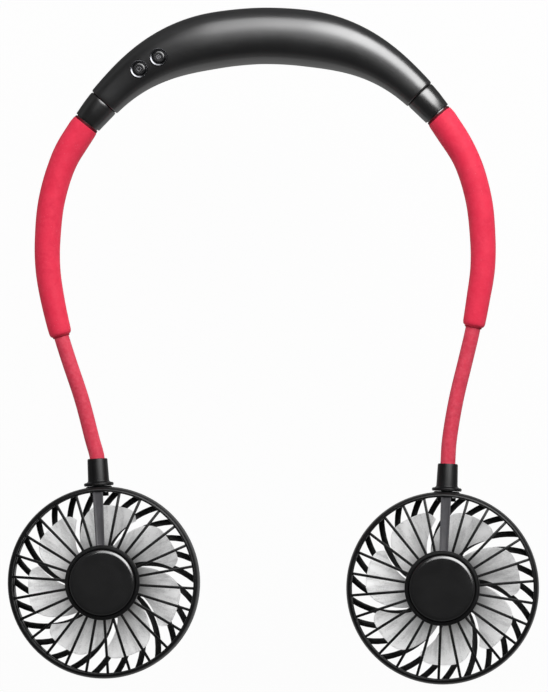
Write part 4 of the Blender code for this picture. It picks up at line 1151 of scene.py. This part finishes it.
def makeIntakeGrille():
    # rim, 25 thin ribs, and the hub round the motor; the broad rib over the leads fills the last place
    lip, top, inside = headRadius - headShape["lip"], headShape["rimTop"], headRadius - headShape["wall"]
    low = midHeight + layout["gap"] / 2
    # a tongue inside the wall of the other half closes the parting line
    rim = turnedPiece("intakeRim", [
        (inside - 0.0001, low), *ringsFrom(headRadius, low, (-0.2, 0), (0, 0.2)),
        *ringsFrom(headRadius, top, (0, -6), (-0.05, -4.2), (-0.2, -2.7), (-0.4, -1.6), (-0.7, -0.8),
                   (-1.05, -0.3), (-1.45, -0.05), (-1.8, 0)),
        *ringsFrom(lip, top, (0.15, -0.1), (0, -0.35), (0, -1.9)),
        *ringsFrom(inside, top, (-0.3, -2.4), (0, -2.9)),
        *ringsFrom(inside, low, (0, 2.2), (-0.5, 1.6), (-0.5, -0.9), (-0.1, -0.9)),
    ], 128)
    hub, ring, seat = headShape["hubRadius"], headShape["hubRingTop"], headShape["hubSeat"]
    floor, motor, cap = headShape["motorFloor"], headShape["motorRadius"] + layout["gap"], headShape["capRadius"]
    hubPiece = turnedPiece("intakeHub", [
        *ringsFrom(hub, ring, (-1.2, 0), (-0.5, -0.1), (-0.1, -0.5), (0, -1.1)),
        *ringsFrom(hub, top, (0, -0.3), (-0.6, -1.2)), *ringsFrom(motor, floor, (1.8, 2.5), (1.8, 0)),
        *ringsFrom(0, floor, (3.5, 0), (3.5, 1.2)), (motor, floor + 0.0012), (motor, seat), (cap + 0.0003, seat),
        *ringsFrom(cap, ring, (0.3, -0.2), (0.5, 0)),
    ], 96)
    width, count = intakeRibs["width"], intakeRibs["count"]
    rib = makeStraightRib("intakeRib", (width, width), intakeRibs["depth"], intakeRibs["heights"])
    roundEdges(rib, intakeRibs["round"], 2, 50)
    ribs = copiesRound(rib, [360 / count * k for k in range(1, count)])
    # a low boss round the swivel pin, up to the neck collar's flange
    rings = ringsFrom(0, headRadius, (2.8, -1), (2.8, 0.2), (5, 0.2), (5.4, 0), (5.6, -0.4), (5.6, -1))
    boss = placePiece(turnedPiece("neckBoss", rings, 64), (0, 0, midHeight), (-90, 0, 0))
    return joinPieces("intakeGrille", rim, hubPiece, ribs, boss)


def makeBroadRib():
    # its top face is sunk between two edges
    rib = makeStraightRib("broadRib", broadRib["widths"], broadRib["depth"], broadRib["heights"])
    selectFaces(rib, lambda normal: normal.z > 0.8)
    sink = broadRib["sink"]
    bpy.ops.mesh.inset(thickness=broadRib["edge"], depth=0)
    bpy.ops.mesh.inset(thickness=sink, depth=-sink)
    endEdit()
    return roundEdges(rib, broadRib["round"], 3, 35)


outletRibs = {
    "count": 26, "widths": (0.0021, 0.0026), "depth": 0.0014, "height": 0.0009, "sweep": 30.0, "phase": 3.0,
    "intoRim": 0.0003, "round": 0.00022,
}


def makeSwirlRib():
    # a bar with several sections, each turned further round the middle
    inner = headShape["hubRadius"] - headShape["rooted"]
    outer = headRadius - headShape["wall"] + outletRibs["intoRim"]
    steps, sweep = 10, outletRibs["sweep"]
    near, far = outletRibs["widths"]
    rib = newPiece("outletRib", bpy.ops.mesh.primitive_plane_add, (outletRibs["depth"], near, 1), size=1,
                   location=(inner, 0, outletRibs["height"]), rotation=(0, math.pi / 2, 0))
    startEdit(rib)
    width = near
    for k in range(1, steps + 1):
        share = k / steps
        radius = inner + (outer - inner) * share
        lean = 1 / math.cos(math.atan(math.radians(sweep) * radius / (outer - inner)))
        wanted = (near + (far - near) * share) * lean
        bpy.ops.mesh.extrude_region_move(TRANSFORM_OT_translate={"value": ((outer - inner) / steps, 0, 0)})
        bpy.ops.transform.resize(value=(1, wanted / width, 1), center_override=(radius, 0, 0))
        width = wanted
    endEdit()
    settle(rib, None)
    for k in range(steps + 1):
        radius = inner + (outer - inner) * k / steps
        selectPoints(rib, lambda co: abs(co.x - radius) < 0.0002)
        turnSelected(sweep * (1 - k / steps))
        endEdit()
    return roundEdges(rib, outletRibs["round"], 2, 50)


def makeOutletGrille():
    # its wall leans in towards the side that the fan lies on
    draft, hub, inside = headShape["draft"], headShape["hubRadius"], headRadius - headShape["wall"]
    top, low = midHeight - layout["gap"] / 2, headRadius - draft
    rim = turnedPiece("outletRim", [
        (inside, top), *ringsFrom(inside, 0, (0, 0.2), (0.2, 0)),
        *ringsFrom(low, 0, (-0.3, 0), (-0.1, 0.3), (0, 1.4)), (headRadius - draft * 0.25, 0.0085),
        *ringsFrom(headRadius, top, (0, -0.3), (-0.2, 0)),
    ], 128)
    disc = turnedPiece("outletHub", [
        (0.0020, 0.0024),
        *ringsFrom(hub, 0, (-1, 2.4), (-0.3, 2.2), (0, 1.8), (0, 0.6), (-0.4, 0.1), (-0.9, 0), (-2.4, 0),
                   (-2.6, 0.3), (-3.4, 0.3), (-3.6, 0)),
        (0.0020, 0.0),
    ], 96, "fill")
    step, first = 360 / outletRibs["count"], 90 + outletRibs["phase"]
    ribs = copiesRound(makeSwirlRib(), [first + step * k for k in range(outletRibs["count"])])
    return joinPieces("outletGrille", rim, disc, ribs)


impellerShape = {
    "hub": 0.0135,
    "tip": 0.0330,
    "rooted": 0.0006,
    "blades": 7,
    "span": 43.0,
    "sweep": 27.0,
    "heights": (0.0045, 0.0125),
    "thickness": 0.0009,
    "camber": 0.0011,
    "corner": {"from": 0.5, "drop": 0.17, "power": 2.2},
    "round": 0.0003,
    "cup": (0.0034, 0.0122),
    "phase": {"left": 6.9, "right": -6.4},
}


def bladeReach(chord):
    # share of the full length at each place across the blade: its two outer corners are rounded
    first, drop, power = impellerShape["corner"].values()
    return 1.0 - drop * (max(abs(2 * chord - 1) - first, 0.0) / (1 - first)) ** power


def makeBlade():
    # a strip along the swept radius, extruded round the middle while it climbs
    root, tip = impellerShape["hub"] - impellerShape["rooted"], impellerShape["tip"]
    low, high = impellerShape["heights"]
    sweep, span = impellerShape["sweep"], impellerShape["span"]
    radial, chordwise = 10, 12
    blade = newPiece("blade", bpy.ops.mesh.primitive_grid_add, (tip - root, 0.0001, 1), size=1,
                     x_subdivisions=radial, y_subdivisions=1, location=((tip + root) / 2, 0, low))
    selectPoints(blade, lambda co: co.y > 0)
    bpy.ops.mesh.delete(type="VERT")
    endEdit()
    step = (tip - root) / radial
    for k in range(radial):
        # the root is turned most, so the blade is swept
        radius = root + step * k
        selectPoints(blade, lambda co: abs(co.length - Vector((radius, 0, low)).length) < step * 0.3)
        turnSelected(sweep * (1 - k / radial))
        endEdit()
    startEdit(blade)
    height, reach = low, bladeReach(0.0)
    for k in range(chordwise + 1):
        chord = k / chordwise
        if k:
            wanted = low + (high - low) * chord + impellerShape["camber"] * math.sin(math.pi * chord)
            bpy.ops.mesh.extrude_region_move(TRANSFORM_OT_translate={"value": (0, 0, wanted - height)})
            turnSelected(span / chordwise)
            height = wanted
        share = bladeReach(chord) / (reach if k else 1.0)
        turned = math.radians(sweep + span * chord)
        rootPlace = (root * math.cos(turned), root * math.sin(turned), height)
        bpy.ops.transform.resize(value=(share, share, share), center_override=rootPlace)
        reach = bladeReach(chord)
    endEdit()
    settle(blade, None)
    useModifier(blade, "SOLIDIFY", thickness=impellerShape["thickness"], offset=0.0)
    roundEdges(blade, impellerShape["round"], 2, 50)
    useModifier(blade, "SUBSURF", levels=1, render_levels=1)
    pick(blade)
    bpy.ops.object.shade_smooth()
    return blade


def makeImpeller():
    hub, (low, top) = impellerShape["hub"], impellerShape["cup"]
    cup = turnedPiece("impellerCup", [
        *ringsFrom(0, low, (1.3, 1)), *ringsFrom(0, top, (1.3, -1), (3, -1)), *ringsFrom(0, low, (3, 1.5)),
        *ringsFrom(hub, low, (-1.2, 1.5)), *ringsFrom(hub, top, (-1.2, 0), (0, 0)),
        *ringsFrom(hub, low, (0, 1.4), (-0.4, 0.5), (-1.4, 0)), *ringsFrom(0, low, (1.3, 0)),
    ], 96)
    roundEdges(cup, 0.0001, 1, 50)
    count = impellerShape["blades"]
    return joinPieces("impeller", cup, copiesRound(makeBlade(), [360 / count * k for k in range(count)]))


def makeHubCap():
    cap, top, low = headShape["capRadius"], headShape["capTop"], headShape["hubSeat"] + layout["gap"]
    return turnedPiece("hubCap", [
        (0.0010, top - 0.00004),
        *ringsFrom(cap, top, (-3, 0), (-1.7, 0), (-1.45, -0.02), (-1.15, -0.1), (-0.7, -0.27), (-0.4, -0.43),
                   (-0.18, -0.66), (-0.05, -1), (0, -1.4)),
        (cap, low), (0.0010, low),
    ], 96, "fill", 40)


def makeHeads():
    masters = {
        "intakeGrille": (makeIntakeGrille(), "grilleBlack", "head", "black_grille", "intake_grille"),
        # the broad rib's grey finish is a painted highlight
        "broadRib": (makeBroadRib(), "spokeGrey", "head", "black_grille", None),
        "outletGrille": (makeOutletGrille(), "grilleBlack", "head", "black_grille", "outlet_grille"),
        "impeller": (makeImpeller(), "BladePale", "rotor", "pale_blade", "impeller"),
        "hubCap": (makeHubCap(), "CapSatin", "head", "hub_cap", "hub_cap"),
    }
    for side in sides:
        # these two follow each head's own centre
        centre = layout["headCentre"][side]
        finishes["BladePale"] = bladeFinish(f"{side}BladePale", centre)
        finishes["CapSatin"] = turnedFinish(f"{side}CapSatin", (15, 15, 16), (12, 12, 13), centre, (0.004, 0.0141),
                                            (0.18, 0.25), 0.05)
        for name, (master, finish, body, slot, node) in masters.items():
            piece = copyPiece(master, f"{side}{name[0].upper()}{name[1:]}")
            if name == "impeller":
                placePiece(piece, turn=(0, 0, impellerShape["phase"][side]))
            nodes = [f"{side}_{node}"] if node else []
            finishPiece(seatHead(piece, side), finish, f"{side}_{body}", nodes)
    for master, *_ in masters.values():
        bpy.data.objects.remove(master)
    print("fan heads made")


# CAD nodes that stay
keptNodes = {
    "control_board": "boardGreen", "lithium_cell": "cellBlue", "battery_leads": "cableBlack",
    "power_switch": "plainSteel", "speed_switch": "plainSteel",
}
keptHeadNodes = {
    "motor_can": "plainSteel", "motor_end_cap": "nylonIvory", "motor_screw_1": "plainSteel",
    "motor_screw_2": "plainSteel", "motor_shaft": "plainSteel", "motor_leads": "cableBlack",
    "swivel_pin": "grilleBlack",
}


def paintNodes():
    keep = dict(keptNodes)
    for side in sides:
        keep.update({f"{side}_{name}": finish for name, finish in keptHeadNodes.items()})
    for name, finish in keep.items():
        node = cadNodes[name]
        node.data.materials.clear()
        node.data.materials.append(finishes[finish])
    print("CAD nodes painted:", len(keep))


# floor, lights and camera
stage = {
    "floorSize": 8.0,
    # below the object, so that the heads stay clear of it when they tilt or swivel
    "floorPlace": (0, -0.35, -0.118),
    "floorGlow": 0.955,
    # the floor is darker in reflections, and darkest outside this oval, as with black cards round the set
    "shine": 0.4,
    "outsideShine": 0.2,
    "loop": (0.36, 0.5),
    "world": {"horizon": 0.44, "overhead": 0.11},
    # azimuth and tilt from the zenith in degrees, size across and along the tilt
    "lamps": {
        "bank": {"azimuth": 62, "tilt": 44, "distance": 1.0, "size": (1.25, 0.95), "radiance": 1.9, "roll": 22},
        "core": {"azimuth": 54, "tilt": 51, "distance": 0.95, "size": (0.65, 0.85), "radiance": 2.4, "roll": 0},
        "fill": {"azimuth": 165, "tilt": 36, "distance": 1.1, "size": (0.8, 0.7), "radiance": 1.6, "roll": 0},
    },
    "camera": {"distance": 2.5, "offset": (0.13, -0.07), "lens": 305.2, "aim": (0.0004, -0.0003, 0.014)},
}


def clearRays(tree):
    # rays straight from the camera, or through something clear, and the shiny ones
    ray = putNode(tree, "LightPath").outputs
    direct = doMath(tree, "ADD", ray["Is Camera Ray"], ray["Is Transmission Ray"], use_clamp=True)
    return direct, ray["Is Glossy Ray"]


def linkMix(tree, ending, factor, first, second):
    mixed = putNode(tree, "MixShader", factor, first, second).outputs["Shader"]
    tree.links.new(mixed, tree.nodes[ending].inputs["Surface"])


def makeFloor():
    place = stage["floorPlace"]
    floor = newPiece("floor", bpy.ops.mesh.primitive_plane_add, size=stage["floorSize"], location=place)
    material, tree, shader, spot = startMaterial("paperWhite", Roughness=0.9, Base_Color=(0.8, 0.8, 0.8, 1))
    floor.data.materials.append(material)
    # seen by the camera and in reflections as near-white paper, with the shadow kept
    direct, glossy = clearRays(tree)
    seen = doMath(tree, "ADD", direct, glossy, use_clamp=True)
    reach = doVector(tree, "DIVIDE", spot, (*stage["loop"], 1.0))
    away = doVector(tree, "LENGTH", reach, gives="Value")
    shine = mapRange(tree, away, 0.8, 1.1, stage["shine"], stage["shine"] * stage["outsideShine"])
    glow = putNode(tree, "Emission", Strength=mixValues(tree, direct, shine, 1.0)).outputs["Emission"]
    share = doMath(tree, "MULTIPLY", seen, stage["floorGlow"])
    linkMix(tree, "Material Output", share, shader.outputs["BSDF"], glow)


def makeLamps():
    for name, settings in stage["lamps"].items():
        azimuth, tilt = math.radians(settings["azimuth"]), math.radians(settings["tilt"])
        away = Vector((math.sin(tilt) * math.cos(azimuth), math.sin(tilt) * math.sin(azimuth), math.cos(tilt)))
        bpy.ops.object.light_add(type="AREA", location=away * settings["distance"])
        lamp = bpy.context.object
        lamp.name = f"{name}Lamp"
        lamp.data.shape = "RECTANGLE"
        lamp.data.size, lamp.data.size_y = settings["size"]
        lamp.data.energy = settings["radiance"] * math.pi * lamp.data.size * lamp.data.size_y
        roll = Quaternion((0, 0, 1), math.radians(settings["roll"]))
        lamp.rotation_euler = (away.to_track_quat("Z", "Y") @ roll).to_euler()
        lamp.visible_camera = False
        lamp.visible_glossy = name != "fill"


def makeWorld():
    # a white sweep all round, darker towards the ceiling
    world = bpy.data.worlds.new("studio")
    bpy.context.scene.world = world
    world.use_nodes = True
    tree = world.node_tree
    rise = putNode(tree, "SeparateXYZ", putNode(tree, "TexCoord").outputs["Generated"]).outputs["Z"]
    sweep = mapRange(tree, rise, 0.05, 0.5, *stage["world"].values(), interpolation_type="SMOOTHSTEP")
    direct, glossy = clearRays(tree)
    strength = doMath(tree, "MULTIPLY", sweep, mixFloat(tree, glossy, 1.0, stage["shine"]))
    soft = tree.nodes["Background"]
    soft.inputs["Color"].default_value = (1, 1, 1, 1)
    tree.links.new(strength, soft.inputs["Strength"])
    plain = putNode(tree, "Background", (1, 1, 1, 1), 1.0)
    linkMix(tree, "World Output", direct, soft.outputs["Background"], plain.outputs["Background"])


def makeCamera():
    settings = stage["camera"]
    away = Vector((*settings["offset"], settings["distance"]))
    tilts = (-math.atan2(away.y, math.hypot(away.x, away.z)), math.atan2(away.x, away.z), 0)
    bpy.ops.object.camera_add(location=Vector(settings["aim"]) + away, rotation=tilts)
    camera = bpy.context.object
    camera.data.lens = settings["lens"]
    camera.data.sensor_width = 36
    camera.data.clip_end = 50
    bpy.context.scene.camera = camera


makeCamera()
makeBand()
makeArmCollars()
makeButtons()
makeSocket()
makeShellScrews()
for armSide in sides:
    makeArm(armSide)
makeHeads()
paintNodes()
makeFloor()
makeLamps()
makeWorld()
clearSelection()
bpy.context.scene.view_settings.view_transform = "Standard"
